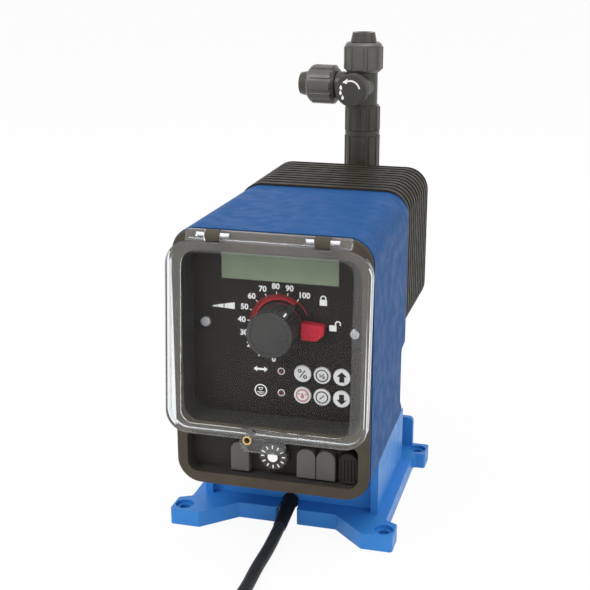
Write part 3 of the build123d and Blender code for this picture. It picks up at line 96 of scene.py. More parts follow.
def noise(tree_nodes, links, scale, detail=3.0, stretch=(1, 1, 1)):
    """Noise over the object's own coordinates; scale is in lumps per metre."""
    place = tree_nodes.new("ShaderNodeTexCoord")
    mapping = tree_nodes.new("ShaderNodeMapping")
    mapping.inputs["Scale"].default_value = stretch
    texture = tree_nodes.new("ShaderNodeTexNoise")
    texture.inputs["Scale"].default_value = scale
    texture.inputs["Detail"].default_value = detail
    links.new(place.outputs["Object"], mapping.inputs["Vector"])
    links.new(mapping.outputs["Vector"], texture.inputs["Vector"])
    return texture.outputs["Fac"]


def between(tree_nodes, links, factor, low, high):
    """Maps a 0.35 to 0.65 noise onto low to high."""
    ramp = tree_nodes.new("ShaderNodeMapRange")
    ramp.inputs["From Min"].default_value = 0.35
    ramp.inputs["From Max"].default_value = 0.65
    ramp.inputs["To Min"].default_value = low
    ramp.inputs["To Max"].default_value = high
    links.new(factor, ramp.inputs["Value"])
    return ramp.outputs["Result"]


def surface(name, color, rough=0.5, grain=1500, bump=0.1, mottle=0.08, metal=0.0, coat=0.0, depth=0.05,
            stretch=(1, 1, 1), shine=0.15):
    """Moulded or machined surface: cloudy colour, uneven gloss and a fine grain in relief."""
    material, tree_nodes, links = shader_of(name)
    bsdf = tree_nodes["Principled BSDF"]
    bsdf.inputs["Metallic"].default_value = metal
    bsdf.inputs["Coat Weight"].default_value = coat
    bsdf.inputs["Specular IOR Level"].default_value = 0.5 if metal else shine
    cloud = noise(tree_nodes, links, 60, 4)
    ramp = tree_nodes.new("ShaderNodeValToRGB")
    ramp.color_ramp.elements[0].position = 0.3
    ramp.color_ramp.elements[1].position = 0.7
    ramp.color_ramp.elements[0].color = shaded(color, 1 - mottle)
    ramp.color_ramp.elements[1].color = shaded(color, 1 + mottle)
    links.new(cloud, ramp.inputs["Fac"])
    links.new(ramp.outputs["Color"], bsdf.inputs["Base Color"])
    gloss = noise(tree_nodes, links, 130, 3)
    links.new(between(tree_nodes, links, gloss, rough - 0.07, rough + 0.07), bsdf.inputs["Roughness"])
    if bump:
        relief = tree_nodes.new("ShaderNodeBump")
        relief.inputs["Strength"].default_value = bump
        relief.inputs["Distance"].default_value = depth * MM
        links.new(noise(tree_nodes, links, grain, 2, stretch), relief.inputs["Height"])
        links.new(relief.outputs["Normal"], bsdf.inputs["Normal"])
    return material


def rim_sheen_share(tree_nodes, links):
    """Share of painted sheen: none inside the cover's window, which has round corners, and the full sheen
    share round it.
    """
    value = tree_nodes.new("ShaderNodeTexCoord").outputs["Object"]
    corner = Vector((WINDOW_CORNER, 0, WINDOW_CORNER))
    steps = (
        ("SUBTRACT", Vector((0, 0, WINDOW_Z * MM))), ("MULTIPLY", Vector((1 / MM, 0, 1 / MM))),
        ("ABSOLUTE", Vector()), ("SUBTRACT", Vector((WINDOW_HALF_X, 0, WINDOW_HALF_Z)) - corner),
        ("MAXIMUM", Vector()), ("LENGTH", Vector()),
    )
    for operation, constant in steps:
        step = tree_nodes.new("ShaderNodeVectorMath")
        step.operation = operation
        step.inputs[1].default_value = constant
        links.new(value, step.inputs[0])
        value = step.outputs["Value" if operation == "LENGTH" else "Vector"]
    outside = tree_nodes.new("ShaderNodeMath")
    outside.operation = "GREATER_THAN"
    outside.inputs[1].default_value = WINDOW_CORNER
    share = tree_nodes.new("ShaderNodeMath")
    share.operation = "MULTIPLY"
    share.inputs[1].default_value = RIM_SHEEN
    links.new(value, outside.inputs[0])
    links.new(outside.outputs["Value"], share.inputs[0])
    return share.outputs["Value"]


def clear_plastic(name):
    """Clear polycarbonate that lets the light through to what lies behind it, with painted sheen on its rim:
    a whitish diffuse layer for the reflections there.
    """
    material, tree_nodes, links = shader_of(name)
    bsdf = tree_nodes["Principled BSDF"]
    bsdf.inputs["Base Color"].default_value = (0.93, 0.95, 0.96, 1)
    bsdf.inputs["Transmission Weight"].default_value = 1.0
    bsdf.inputs["IOR"].default_value = 1.49
    bsdf.inputs["Specular Tint"].default_value = (0.15, 0.15, 0.15, 1)
    haze = noise(tree_nodes, links, 90, 3)
    links.new(between(tree_nodes, links, haze, 0.02, 0.07), bsdf.inputs["Roughness"])
    relief = tree_nodes.new("ShaderNodeBump")
    relief.inputs["Strength"].default_value = 0.05
    relief.inputs["Distance"].default_value = 0.1 * MM
    links.new(noise(tree_nodes, links, 40, 1), relief.inputs["Height"])
    links.new(relief.outputs["Normal"], bsdf.inputs["Normal"])
    # painted sheen: a whitish diffuse layer on the rim stands in for its reflections
    sheen_layer = tree_nodes.new("ShaderNodeBsdfDiffuse")
    grain = noise(tree_nodes, links, 900, 3)
    links.new(between(tree_nodes, links, grain, 0.55, 0.95), sheen_layer.inputs["Color"])
    sheened = tree_nodes.new("ShaderNodeMixShader")
    links.new(rim_sheen_share(tree_nodes, links), sheened.inputs["Fac"])
    links.new(bsdf.outputs["BSDF"], sheened.inputs[1])
    links.new(sheen_layer.outputs["BSDF"], sheened.inputs[2])
    path = tree_nodes.new("ShaderNodeLightPath")
    through = tree_nodes.new("ShaderNodeBsdfTransparent")
    mix = tree_nodes.new("ShaderNodeMixShader")
    links.new(path.outputs["Is Shadow Ray"], mix.inputs["Fac"])
    links.new(sheened.outputs["Shader"], mix.inputs[1])
    links.new(through.outputs["BSDF"], mix.inputs[2])
    links.new(mix.outputs["Shader"], tree_nodes["Material Output"].inputs["Surface"])
    return material


def paint_recess_shade(material, shade_color):
    """Paints shade into the moulding: its colour turns darker behind its front face, inside the outline of
    its openings, where the recesses lie in shade.
    """
    tree_nodes, links = material.node_tree.nodes, material.node_tree.links
    base_color = tree_nodes["Principled BSDF"].inputs["Base Color"]
    outer_color = base_color.links[0].from_socket
    place = tree_nodes.new("ShaderNodeTexCoord")
    axes = tree_nodes.new("ShaderNodeSeparateXYZ")
    links.new(place.outputs["Object"], axes.inputs["Vector"])
    inside = None
    limits = (
        ("Y", "GREATER_THAN", FRONT_Y + FACE_LIP),
        ("X", "GREATER_THAN", -OPENING_HALF),
        ("X", "LESS_THAN", OPENING_HALF),
        ("Z", "GREATER_THAN", OPENING_LOW),
        ("Z", "LESS_THAN", OPENING_HIGH),
    )
    for axis, operation, limit in limits:
        test = tree_nodes.new("ShaderNodeMath")
        test.operation = operation
        test.inputs[1].default_value = limit * MM
        links.new(axes.outputs[axis], test.inputs[0])
        if inside is not None:
            both = tree_nodes.new("ShaderNodeMath")
            both.operation = "MULTIPLY"
            links.new(inside, both.inputs[0])
            links.new(test.outputs["Value"], both.inputs[1])
            inside = both.outputs["Value"]
        else:
            inside = test.outputs["Value"]
    mix = tree_nodes.new("ShaderNodeMixRGB")
    mix.inputs["Color2"].default_value = shade_color
    links.new(inside, mix.inputs["Fac"])
    links.new(outer_color, mix.inputs["Color1"])
    links.new(mix.outputs["Color"], base_color)
    return material


housing_blue = surface("housing_blue", srgb(32, 80, 136), rough=0.5, grain=2600, bump=0.25, mottle=0.04,
                       shine=0.05)
base_blue = surface("base_blue", srgb(54, 132, 208), rough=0.4, grain=1800, bump=0.2, mottle=0.05, shine=0.3)
bezel_grey = surface("bezel_grey", srgb(75, 68, 58), rough=0.55, grain=2200, bump=0.6, mottle=0.12)
# painted shade: the bezel's recesses get a darker grey than its front face
bezel_grey = paint_recess_shade(bezel_grey, srgb(58, 56, 54))
cover_black = surface("cover_black", srgb(46, 42, 35), rough=0.5, grain=1500, bump=0.9, mottle=0.2)
panel_brown = surface("panel_brown", srgb(40, 35, 32), rough=0.4, grain=3000, bump=0.2, mottle=0.12)
knob_black = surface("knob_black", srgb(70, 69, 67), rough=0.5, grain=1800, bump=0.35, mottle=0.15)
valve_black = surface("valve_black", srgb(62, 58, 51), rough=0.36, grain=900, bump=0.3, mottle=0.15,
                      shine=0.4)
nut_grey = surface("nut_grey", srgb(84, 81, 77), rough=0.36, grain=900, bump=0.3, mottle=0.15, shine=0.5)
rubber_black = surface("rubber_black", srgb(26, 26, 27), rough=0.6, grain=1400, bump=0.4, mottle=0.15)
lever_red = surface("lever_red", srgb(198, 42, 60), rough=0.4, grain=1600, bump=0.2, mottle=0.06)
cap_grey = surface("cap_grey", srgb(92, 90, 88), rough=0.55, grain=1800, bump=0.4, mottle=0.1)
cap_dark = surface("cap_dark", srgb(44, 42, 40), rough=0.55, grain=1800, bump=0.4, mottle=0.1)
# white for print; also the painted highlights on the stroke knob's pointer and on the trim dial
white_print_and_glints = surface("white_print_and_glints", srgb(250, 248, 246), rough=0.5, grain=4000, bump=0.1, mottle=0.03)
print_dark = surface("print_dark", srgb(42, 38, 36), rough=0.5, grain=4000, bump=0.1, mottle=0.08)
print_red = surface("print_red", srgb(190, 48, 58), rough=0.5, grain=4000, bump=0.1, mottle=0.06)
print_pink = surface("print_pink", srgb(205, 140, 138), rough=0.5, grain=4000, bump=0.1, mottle=0.05)
key_white = surface("key_white", srgb(240, 238, 236), rough=0.5, grain=2500, bump=0.2, mottle=0.04)
display_green = surface("display_green", srgb(144, 155, 130), rough=0.25, grain=700, bump=0.0, mottle=0.05)
lamp_red = surface("lamp_red", srgb(96, 40, 36), rough=0.2, grain=900, bump=0.1, mottle=0.1, coat=0.5)
clear = clear_plastic("clear_plastic")
brass = surface("brass", (0.75, 0.53, 0.22, 1), rough=0.3, grain=1500, bump=0.15, mottle=0.08, metal=1.0)
steel = surface("steel", (0.6, 0.6, 0.61, 1), rough=0.32, grain=900, bump=0.2, mottle=0.08, metal=1.0,
                stretch=(1, 8, 1))
can_steel = surface("can_steel", (0.42, 0.42, 0.43, 1), rough=0.45, grain=700, bump=0.3, mottle=0.12,
                    metal=1.0)
nylon = surface("nylon", srgb(226, 220, 200), rough=0.45, grain=1500, bump=0.15, mottle=0.05)
shaft_grey = surface("shaft_grey", srgb(205, 203, 198), rough=0.45, grain=1500, bump=0.15, mottle=0.05)
copper = surface("copper", (0.70, 0.30, 0.13, 1), rough=0.35, grain=420, bump=0.8, mottle=0.1, metal=1.0,
                 stretch=(0.02, 5, 0.02), depth=0.4)
bronze = surface("bronze", (0.5, 0.33, 0.16, 1), rough=0.45, grain=1800, bump=0.4, mottle=0.15, metal=1.0)
board_green = surface("board_green", srgb(28, 92, 52), rough=0.35, grain=500, bump=0.35, mottle=0.2)
ptfe = surface("ptfe", srgb(235, 234, 228), rough=0.4, grain=1200, bump=0.1, mottle=0.03)
ceramic = surface("ceramic", srgb(232, 230, 222), rough=0.15, grain=800, bump=0.03, mottle=0.03, coat=0.3)
seal_black = surface("seal_black", srgb(24, 24, 24), rough=0.65, grain=1500, bump=0.3, mottle=0.15)
adapter_grey = surface("adapter_grey", srgb(66, 66, 66), rough=0.5, grain=1400, bump=0.4, mottle=0.12)

finishes = {
    housing_blue: ["housing"],
    base_blue: ["base_stand"],
    bezel_grey: ["front_bezel"],
    cover_black: ["rear_cover"],
    panel_brown: ["control_panel", "panel_overlay"],
    knob_black: ["stroke_knob", "trim_dial", "bleed_knob"],
    valve_black: ["suction_cartridge", "discharge_cartridge", "bleed_valve_body", "tube_collets",
                  "pump_head", "sockets"],
    nut_grey: ["suction_nut", "discharge_nut", "bleed_nut"],
    rubber_black: ["strain_relief"],
    lever_red: ["lock_lever"],
    cap_grey: ["socket_caps"],
    cap_dark: ["ribbed_cap"],
    key_white: ["key_percent", "key_mode", "key_up", "key_prime", "key_stop", "key_down"],
    display_green: ["lcd_display"],
    lamp_red: ["status_lamps"],
    clear: ["clear_cover"],
    brass: ["cover_bush"],
    steel: ["base_screws", "rear_cover_screws", "head_screws", "hinge_pins", "armature", "pump_shaft",
            "return_spring", "solenoid_bracket", "panel_screws"],
    can_steel: ["solenoid_can", "pole_plate"],
    nylon: ["coil_bobbin"],
    shaft_grey: ["stroke_shaft", "stroke_stop"],
    copper: ["coil_winding"],
    bronze: ["guide_bush"],
    board_green: ["circuit_board"],
    ptfe: ["diaphragm", "valve_seats"],
    ceramic: ["suction_ball", "discharge_ball"],
    seal_black: ["secondary_seal", "o_rings"],
    adapter_grey: ["adapter_plate"],
}
for material, names in finishes.items():
    for name in names:
        node = nodes[name]
        if node.material_slots:
            for slot in node.material_slots:
                slot.material = material
        else:
            node.data.materials.append(material)


def plug_material():
    """Black moulded plug with nickel pins: the pins are what lies beyond the body's front face."""
    material = surface("plug_black", srgb(28, 28, 29), rough=0.55, grain=1400, bump=0.4, mottle=0.15)
    tree_nodes, links = material.node_tree.nodes, material.node_tree.links
    bsdf = tree_nodes["Principled BSDF"]
    metal = tree_nodes.new("ShaderNodeBsdfPrincipled")
    metal.inputs["Metallic"].default_value = 1.0
    metal.inputs["Base Color"].default_value = (0.62, 0.6, 0.55, 1)
    wear = noise(tree_nodes, links, 300, 3)
    links.new(between(tree_nodes, links, wear, 0.22, 0.38), metal.inputs["Roughness"])
    place = tree_nodes.new("ShaderNodeTexCoord")
    along = tree_nodes.new("ShaderNodeVectorMath")
    along.operation = "DOT_PRODUCT"
    along.inputs[1].default_value = PLUG_WAY
    past = tree_nodes.new("ShaderNodeMath")
    past.operation = "GREATER_THAN"
    past.inputs[1].default_value = PLUG_FACE
    mix = tree_nodes.new("ShaderNodeMixShader")
    links.new(place.outputs["Object"], along.inputs[0])
    links.new(along.outputs["Value"], past.inputs[0])
    links.new(past.outputs["Value"], mix.inputs["Fac"])
    links.new(bsdf.outputs["BSDF"], mix.inputs[1])
    links.new(metal.outputs["BSDF"], mix.inputs[2])
    links.new(mix.outputs["Shader"], tree_nodes["Material Output"].inputs["Surface"])
    return material


# ---------------------------------------------------------------- mesh helpers
def mesh_piece(name, vertices, faces, material, body):
    """A mesh piece from points in millimetres that rides on a body."""
    mesh = bpy.data.meshes.new(name)
    mesh.from_pydata([tuple(c * MM for c in v) for v in vertices], [], faces)
    mesh.validate()
    mesh.update()
    piece = bpy.data.objects.new(name, mesh)
    bpy.context.scene.collection.objects.link(piece)
    mesh.materials.append(material)
    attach(piece, body)


def marks(name, outlines, to_place, material, body):
    """Flat printed marks: outlines are closed lists of (across, up), to_place maps (across, up, out)."""
    vertices = []
    faces = []
    for outline in outlines:
        start = len(vertices)
        count = len(outline)
        vertices += [to_place(a, u, 0.0) for a, u in outline]
        vertices += [to_place(a, u, PRINT) for a, u in outline]
        faces.append([start + count + i for i in range(count)])
        faces.append([start + i for i in reversed(range(count))])
        for i in range(count):
            j = (i + 1) % count
            faces.append([start + i, start + j, start + count + j, start + count + i])
    mesh_piece(name, vertices, faces, material, body)


def on_front(depth_y):
    """Placement on a face that looks to the front, at y in millimetres."""
    return lambda across, up, out: (across, depth_y - out, up)


def circle(x, z, radius, count=40, start=0.0, end=360.0):
    """Points of a circle or an arc."""
    closed = abs(end - start) >= 360
    steps = count if closed else count + 1
    angles = [math.radians(start + (end - start) * i / count) for i in range(steps)]
    return [(x + radius * math.cos(a), z + radius * math.sin(a)) for a in angles]


def band(x, z, inner, outer, start=0.0, end=360.0, count=48):
    """Quads of a ring or an arc between two radii."""
    quads = []
    for i in range(count):
        a = math.radians(start + (end - start) * i / count)
        b = math.radians(start + (end - start) * (i + 1) / count)
        quads.append([
            (x + inner * math.cos(a), z + inner * math.sin(a)),
            (x + outer * math.cos(a), z + outer * math.sin(a)),
            (x + outer * math.cos(b), z + outer * math.sin(b)),
            (x + inner * math.cos(b), z + inner * math.sin(b)),
        ])
    return quads


def bar(x, z, length, width, angle=0.0):
    """A straight bar, centred at x, z."""
    cos, sin = math.cos(math.radians(angle)), math.sin(math.radians(angle))
    along, across = length / 2, width / 2
    corners = [(-along, -across), (along, -across), (along, across), (-along, across)]
    return [(x + cos * a - sin * b, z + sin * a + cos * b) for a, b in corners]


def shape(x, z, points, size=1.0, flip=1):
    """Outline given by its own points, moved to x, z."""
    outline = [(x + a * size, z + b * size * flip) for a, b in points]
    return outline if flip > 0 else outline[::-1]


def lettering(name, text, x, z, size, y, material, body):
    """Printed number, centred at x, z."""
    curve = bpy.data.curves.new(name, "FONT")
    curve.body = text
    curve.size = size * MM
    curve.align_x = "CENTER"
    curve.align_y = "CENTER"
    curve.offset = 0.03 * size * MM
    curve.extrude = PRINT / 2 * MM
    curve.resolution_u = 4
    piece = bpy.data.objects.new(name, curve)
    bpy.context.scene.collection.objects.link(piece)
    piece.location = (x * MM, (y - PRINT / 2) * MM, z * MM)
    piece.rotation_euler = (math.pi / 2, 0, 0)
    curve.materials.append(material)
    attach(piece, body)


# ---------------------------------------------------------------- prints on the panel
panel_y = face_of("panel_overlay")
on_panel = on_front(panel_y)

NUMBER_WAY_X = 22.4             # the numbers stand on a slightly wide ellipse round the knob's axis
NUMBER_WAY_Z = 22.0
NUMBER_SIZE = 4.6
HUNDRED_SHIFT = 1.2             # the only number with three digits stands further out
for i in range(11):
    angle = math.radians(SCALE_TOP + SCALE_STEP * (10 - i))
    x = NUMBER_WAY_X * math.cos(angle) + (HUNDRED_SHIFT if i == 10 else 0)
    z = AXIS_Z + NUMBER_WAY_Z * math.sin(angle)
    lettering(f"number_{i * 10}", str(i * 10), x, z, NUMBER_SIZE, panel_y, white_print_and_glints, "pump")

TICK_FOOT = 15.2
TICK_TIP = 17.5
TICK_MIDDLE = (TICK_FOOT + TICK_TIP) / 2
WHITE_TICK = 18.3               # middle of the white ticks, one at each number
red_ticks = []
white_ticks = []
for i in range(0, 101, 2):
    degrees = SCALE_TOP + SCALE_STEP / 10 * (100 - i)
    angle = math.radians(degrees)
    x, z = TICK_MIDDLE * math.cos(angle), AXIS_Z + TICK_MIDDLE * math.sin(angle)
    red_ticks.append(bar(x, z, TICK_TIP - TICK_FOOT, 0.5, degrees))
    if i % 10 == 0:
        x, z = WHITE_TICK * math.cos(angle), AXIS_Z + WHITE_TICK * math.sin(angle)
        white_ticks.append(bar(x, z, 1.6, 0.4, degrees))
red_ticks += band(0, AXIS_Z, 14.3, 15.3, SCALE_TOP, SCALE_TOP + SCALE_STEP * 10, 90)
red_ticks += band(0, AXIS_Z, 17.2, 17.55, 20, SCALE_TOP, 16)
marks("scale_red", red_ticks, on_panel, print_red, "pump")
marks("scale_white", white_ticks, on_panel, white_print_and_glints, "pump")

POINTER_SET_BACK = 1.5          # the pointer fin's face lies behind the knob's
POINTER_GLINT = 14.9             # middle of the painted highlight, from the axis
pointer = math.radians(SCALE_TOP)
pointer_x = POINTER_GLINT * math.cos(pointer)
pointer_z = AXIS_Z + POINTER_GLINT * math.sin(pointer)
on_pointer = on_front(face_of("stroke_knob") + POINTER_SET_BACK)
# painted highlight: a white line on the pointer fin stands in for the glints on it
pointer_glint = bar(pointer_x, pointer_z, 2.4, 0.8, SCALE_TOP)
marks("pointer_glint", [pointer_glint], on_pointer, white_print_and_glints, "stroke_knob")

wedge = [
    [(-39.8, 140.1), (-37.0, 140.0), (-37.0, 141.4), (-39.8, 140.7)],
    [(-36.8, 140.0), (-33.2, 139.8), (-33.2, 142.2), (-36.8, 141.5)],
    [(-32.7, 139.8), (-26.5, 139.5), (-26.5, 143.6), (-32.7, 142.3)],
]
marks("wedge", wedge, on_panel, white_print_and_glints, "pump")


def padlock(x, z, opened):
    """Padlock sign with its shackle closed, or swung open to the right."""
    body = shape(x, z, [(-2.1, -2.6), (2.1, -2.6), (2.1, 0.9), (-2.1, 0.9)])
    middle = x + (2.9 if opened else 0)
    height = z + (1.9 if opened else 1.6)
    shackle = band(middle, height, 1.0, 1.75, 0, 180, 16)
    legs = [bar(middle - 1.37, (z + 0.8 + height) / 2, height - z - 0.7, 0.75, 90)]
    legs.append(bar(middle + 1.37, height - 0.4, 0.9, 0.75, 90))
    return [body, *shackle, *legs]


marks("lock_closed", padlock(25.4, 148.4, False), on_panel, white_print_and_glints, "pump")
marks("lock_open", padlock(31.0, 133.9, True), on_panel, white_print_and_glints, "pump")

both_ways = [
    (-4.2, 0), (-2.2, 1.7), (-2.2, 0.6), (2.2, 0.6), (2.2, 1.7), (4.2, 0), (2.2, -1.7), (2.2, -0.6),
    (-2.2, -0.6), (-2.2, -1.7),
]
marks("stroke_sign", [shape(ICON_X, KEY_Z[0] + 0.2, both_ways)], on_panel, white_print_and_glints, "pump")
level_sign = band(ICON_X, KEY_Z[1] + 0.3, 3.1, 3.8)
level_sign += [
    bar(ICON_X - 0.75, KEY_Z[1] + 1.1, 1.8, 0.4, -60), bar(ICON_X + 0.75, KEY_Z[1] + 1.1, 1.8, 0.4, 60),
    bar(ICON_X, KEY_Z[1] + 1.9, 2.6, 0.4), bar(ICON_X, KEY_Z[1] - 0.7, 4.2, 0.4),
    bar(ICON_X, KEY_Z[1] - 1.6, 2.8, 0.4),
]
marks("level_sign", level_sign, on_panel, white_print_and_glints, "pump")
for index, z in enumerate(KEY_Z):
    marks(f"lamp_rim_{index}", band(LAMP_X, z, 1.65, 2.1, count=30), on_panel, white_print_and_glints, "pump")

# ---------------------------------------------------------------- signs on the keys
arrow = [(0, 3.3), (3.0, 0.4), (1.45, 0.4), (1.45, -2.9), (-1.45, -2.9), (-1.45, 0.4), (-3.0, 0.4)]


def key_sign(key, column, row, outlines, material=print_dark, layer=0):
    """Sign on the face of a key."""
    name = f"sign_{key}_{layer}"
    face = on_front(face_of("key_" + key) - layer * PRINT)
    x, z = KEY_X[column], KEY_Z[row]
    moved = [[(x + a, z + b) for a, b in outline] for outline in outlines]
    marks(name, moved, face, material, "key_" + key)


ring_sign = band(0, 0, 3.05, 3.75)
key_sign("percent", 0, 0, [*band(-1.55, 1.7, 0.5, 1.15, count=24), *band(1.55, -1.7, 0.5, 1.15, count=24),
                           bar(0, 0, 5.4, 0.6, 55)])
key_sign("mode", 1, 0, [*ring_sign, bar(-0.1, 0, 3.4, 0.55, 40), *band(0.9, -0.9, 0.35, 0.85, count=20),
                        bar(-1.2, 0.6, 1.4, 0.5, 90)])
key_sign("up", 2, 0, [shape(0, 0, arrow)])
key_sign("prime", 0, 1, [*band(0, 0, 3.0, 4.0)], print_pink)
drop = [(0, 2.1), (0.95, 0.4), (1.1, -0.6), (0.6, -1.5), (0, -1.8), (-0.6, -1.5), (-1.1, -0.6), (-0.95, 0.4)]
key_sign("prime", 0, 1, [shape(0, -0.2, drop), bar(-2.0, 0.9, 1.5, 0.7, 30), bar(2.0, 0.9, 1.5, 0.7, -30)],
         print_pink, 1)
key_sign("stop", 1, 1, [*ring_sign, bar(0, 0, 3.7, 0.6, 45)])
key_sign("down", 2, 1, [shape(0, 0, arrow, flip=-1)])

# ---------------------------------------------------------------- trim dial
dial_face = on_front(face_of("trim_dial") + 1.0)
dial_front = on_front(face_of("trim_dial"))
DIAL_TICK = 6.2                 # middle of the dial's ticks, from its axis
# index marks that also serve as painted highlights for the glints on the dial's flutes
tick_and_glint_marks = []
for i in range(12):
    degrees = i * 30.0
    angle = math.radians(degrees)
    x, z = DIAL_TICK * math.cos(angle), TRIM_Z + DIAL_TICK * math.sin(angle)
    tick_and_glint_marks.append(bar(x, z, 2.0, 0.7, degrees))
marks("dial_ticks_and_glints", tick_and_glint_marks, dial_face, white_print_and_glints, "trim_dial")
# painted highlight: a white disc at the dial's centre for the glare on it
marks("dial_centre_glare", [circle(0, TRIM_Z, 3.0)], dial_front, white_print_and_glints, "trim_dial")

# ---------------------------------------------------------------- bleed knob
front_way = Vector((-math.sin(TWIST), -math.cos(TWIST), 0))
right_way = Vector((math.cos(TWIST), -math.sin(TWIST), 0))
KNOB_FACE = 28.0                # face of the bleed knob, from the valve's upright axis


def on_bleed(across, up, out):
    """Placement on the face of the bleed knob."""
    centre = Vector((0, VALVE_Y, BRANCH_Z))
    return tuple(centre + right_way * across + Vector((0, 0, up)) + front_way * (KNOB_FACE + out))


turn_sign = band(0, 0, 6.0, 7.1, 12, 112, 24)
turn_sign.append([(-5.9, 5.3), (-2.2, 8.2), (-2.6, 4.4)][::-1])
marks("turn_sign", turn_sign, on_bleed, white_print_and_glints, "bleed_knob")
drops = [shape(x, z, drop, 0.9) for x, z in ((-7.0, 1.8), (-7.2, -1.8), (-5.6, -5.0))]
marks("drop_sign", drops, on_bleed, white_print_and_glints, "bleed_knob")

# ---------------------------------------------------------------- cord, coil and plug, as in the CAD route
CORD_RADIUS = 3.6
cord_route = [
    (-0.8, -61, 4.5),
    (0.2, -85, 3.8),
    (-0.6, -109, 3.6),
    (0.4, -133, 3.6),
    (-1.5, -156, 3.6),
    (-1.0, -176, 3.6),
]
tail_route = [
    (75.2, -254.8, 10.4),
    (88, -253.7, 9.6),
    (99.9, -248.7, 9.1),
    (109.8, -240.2, 8.9),
    (116.5, -229.1, 9.0),
    (119.5, -216.4, 9.3),
    (119.4, -205.4, 9.8),
]
COIL_CENTRE = (43, -208)
COIL_RADIUS = 42.0
COIL_START = 152
COIL_END = 275 + 6 * 360
PLUG_WAY = Vector((-0.1, 11, 0)).normalized()
PLUG_FACE = (Vector(tail_route[-1]).dot(PLUG_WAY) + 50.5) * MM


def coil_points(first_angle, last_angle, points_per_turn=14):
    """Control points of the turns: four beside each other on the floor, then three on top of them."""
    pitch = 2 * CORD_RADIUS
    layer_rise = 0.9 * pitch
    crossing = 0.2                  # last part of a turn, in which the cord moves over to the next one
    floor_turns = [COIL_RADIUS + pitch * k for k in (1.5, 0.5, -0.5, -1.5)]
    top_turns = [COIL_RADIUS + pitch * k for k in (-1, 0, 1)]
    radii = floor_turns + top_turns
    heights = [CORD_RADIUS] * len(floor_turns) + [CORD_RADIUS + layer_rise] * len(top_turns)
    turns = (last_angle - first_angle) / 360
    count = round(turns * points_per_turn)
    points = []
    for i in range(count + 1):
        position = turns * i / count
        turn = min(int(position), len(radii) - 1)
        following = min(turn + 1, len(radii) - 1)
        share = max(0.0, min(1.0, (position - turn - 1 + crossing) / crossing))
        radius = radii[turn] * (1 - share) + radii[following] * share
        height = heights[turn] * (1 - share) + heights[following] * share
        angle = math.radians(first_angle + (last_angle - first_angle) * i / count)
        control = radius / math.cos(math.pi / points_per_turn) ** 0.5
        x = COIL_CENTRE[0] + control * math.cos(angle)
        y = COIL_CENTRE[1] + control * math.sin(angle)
        points.append((x, y, height))
    return points


def cord_curve(name, points, radius, material):
    """Smooth cord: one open spline whose control points are the route's."""
    curve = bpy.data.curves.new(name, "CURVE")
    curve.dimensions = "3D"
    curve.bevel_depth = radius * MM
    curve.bevel_resolution = 5
    curve.resolution_u = 8
    curve.use_fill_caps = True
    spline = curve.splines.new("NURBS")
    spline.points.add(len(points) - 1)
    for target, point in zip(spline.points, points):
        target.co = (*[c * MM for c in point], 1)
    spline.order_u = 3
    spline.use_endpoint_u = True
    piece = bpy.data.objects.new(name, curve)
    bpy.context.scene.collection.objects.link(piece)
    curve.materials.append(material)
    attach(piece, "pump")
    return piece


cord_black = surface("cord_black", srgb(44, 45, 47), rough=0.5, grain=1100, bump=0.35, mottle=0.12)
all_points = cord_route + coil_points(COIL_START, COIL_END) + tail_route
cord = cord_curve("mains_cord", all_points, CORD_RADIUS, cord_black)
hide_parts("power_cord", "cord_coil", "cord_tail")


def coil_tie(name, degrees):
    """Flat band round all turns of the coil, at an angle of the coil."""
    outline = [                     # its section: distance from the coil's centre, and height
        (29, 0.05), (27, 2), (27, 5), (30.6, 13), (32, 14.2), (52, 14.2), (53.4, 13), (57, 5), (57, 2),
        (55, 0.05),
    ]
    thickness = 0.7
    half_width = 2.0
    middle = (COIL_RADIUS, 7.0)
    inner = []
    for radius, height in outline:
        reach = math.hypot(radius - middle[0], height - middle[1])
        scale = 1 - thickness / reach
        inner.append((middle[0] + (radius - middle[0]) * scale, middle[1] + (height - middle[1]) * scale))
    outward = Vector((math.cos(math.radians(degrees)), math.sin(math.radians(degrees)), 0))
    sideways = Vector((-outward.y, outward.x, 0))
    centre = Vector((*COIL_CENTRE, 0))
    vertices = []
    for ring in (outline, inner):
        for shift in (-half_width, half_width):
            for radius, height in ring:
                vertices.append(tuple(centre + outward * radius + sideways * shift + Vector((0, 0, height))))
    count = len(outline)
    faces = []
    for i in range(count):
        j = (i + 1) % count
        for first, second in ((0, 1), (3, 2), (1, 3), (2, 0)):
            faces.append([first * count + i, first * count + j, second * count + j, second * count + i])
    mesh_piece(name, vertices, faces, rubber_black, "pump")


coil_tie("coil_tie", 40.0)
plug_black = plug_material()
for slot in nodes["power_plug"].material_slots:
    slot.material = plug_black

# ---------------------------------------------------------------- floor, light and camera
def background_rays(tree_nodes, links):
    """1 for the rays that show the background: the camera's, and those in gloss and in clear plastic."""
    path = tree_nodes.new("ShaderNodeLightPath")
    seen = path.outputs["Is Camera Ray"]
    for output in ("Is Glossy Ray", "Is Transmission Ray"):
        either = tree_nodes.new("ShaderNodeMath")
        either.operation = "MAXIMUM"
        links.new(seen, either.inputs[0])
        links.new(path.outputs[output], either.inputs[1])
        seen = either.outputs["Value"]
    return seen


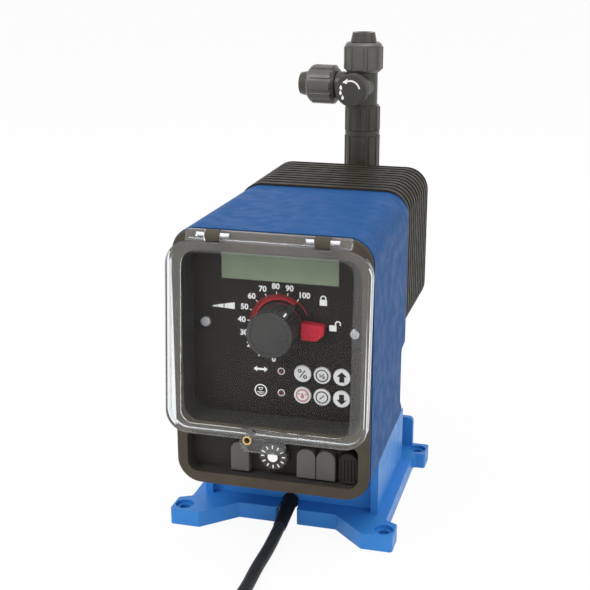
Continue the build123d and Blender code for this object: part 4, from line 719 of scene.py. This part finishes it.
def floor_material():
    """Pale floor: the camera sees it almost white, and it keeps the shadow."""
    material, tree_nodes, links = shader_of("floor")
    bsdf = tree_nodes["Principled BSDF"]
    bsdf.inputs["Base Color"].default_value = (0.9, 0.9, 0.9, 1)
    bsdf.inputs["Roughness"].default_value = 0.9
    bsdf.inputs["Specular IOR Level"].default_value = 0.1
    glow = tree_nodes.new("ShaderNodeEmission")
    glow.inputs["Color"].default_value = (1, 1, 1, 1)
    share = tree_nodes.new("ShaderNodeMath")
    share.operation = "MULTIPLY"
    share.inputs[1].default_value = 0.94
    mix = tree_nodes.new("ShaderNodeMixShader")
    links.new(background_rays(tree_nodes, links), share.inputs[0])
    links.new(share.outputs["Value"], mix.inputs["Fac"])
    links.new(bsdf.outputs["BSDF"], mix.inputs[1])
    links.new(glow.outputs["Emission"], mix.inputs[2])
    links.new(mix.outputs["Shader"], tree_nodes["Material Output"].inputs["Surface"])
    return material


def floor_plane():
    """Wide floor, a hair below everything that stands on it."""
    mesh = bpy.data.meshes.new("floor")
    reach = 12.0
    corners = [(-reach, -reach, 0), (reach, -reach, 0), (reach, reach, 0), (-reach, reach, 0)]
    mesh.from_pydata(corners, [], [(0, 1, 2, 3)])
    piece = bpy.data.objects.new("floor", mesh)
    bpy.context.scene.collection.objects.link(piece)
    mesh.materials.append(floor_material())
    piece.location.z = -0.0002


def world_light():
    """Even white light, brighter where it is seen than where it lights."""
    world = bpy.data.worlds.new("studio")
    bpy.context.scene.world = world
    world.use_nodes = True
    tree_nodes, links = world.node_tree.nodes, world.node_tree.links
    background = tree_nodes["Background"]
    background.inputs["Color"].default_value = (1, 1, 1, 1)
    strength = tree_nodes.new("ShaderNodeMapRange")
    strength.inputs["To Min"].default_value = 0.62
    strength.inputs["To Max"].default_value = 1.0
    links.new(background_rays(tree_nodes, links), strength.inputs["Value"])
    links.new(strength.outputs["Result"], background.inputs["Strength"])


def area_light(name, place, aim, size, power):
    """Soft rectangular lamp that points at a place."""
    lamp = bpy.data.lights.new(name, "AREA")
    lamp.shape = "SQUARE"
    lamp.size = size
    lamp.energy = power
    piece = bpy.data.objects.new(name, lamp)
    bpy.context.scene.collection.objects.link(piece)
    piece.location = place
    piece.rotation_euler = (Vector(aim) - Vector(place)).to_track_quat("-Z", "Y").to_euler()


floor_plane()
world_light()
middle = (0, 0.03, 0.13)
area_light("key_light", (-0.9, -1.0, 1.5), middle, 0.9, 14)
area_light("top_light", (0.2, 0.3, 1.7), middle, 1.0, 10)
area_light("side_light", (1.5, -0.7, 0.7), middle, 0.9, 4)
area_light("low_light", (0.3, -1.5, 0.1), (0, -0.06, 0.03), 0.8, 2.5)

CAMERA_TURN = 15.255            # degrees to the right of the front
CAMERA_DIP = 17.211             # degrees down from level
camera_data = bpy.data.cameras.new("camera")
camera_data.sensor_width = 36
camera_data.sensor_height = 36
camera_data.sensor_fit = "HORIZONTAL"
camera_data.lens = 71.84
camera_data.clip_start = 0.01
camera = bpy.data.objects.new("camera", camera_data)
bpy.context.scene.collection.objects.link(camera)
camera.location = (0.17462, -0.66943, 0.34576)
camera.rotation_euler = (math.radians(90 - CAMERA_DIP), 0, math.radians(CAMERA_TURN))
bpy.context.scene.camera = camera
bpy.context.scene.view_settings.view_transform = "Standard"
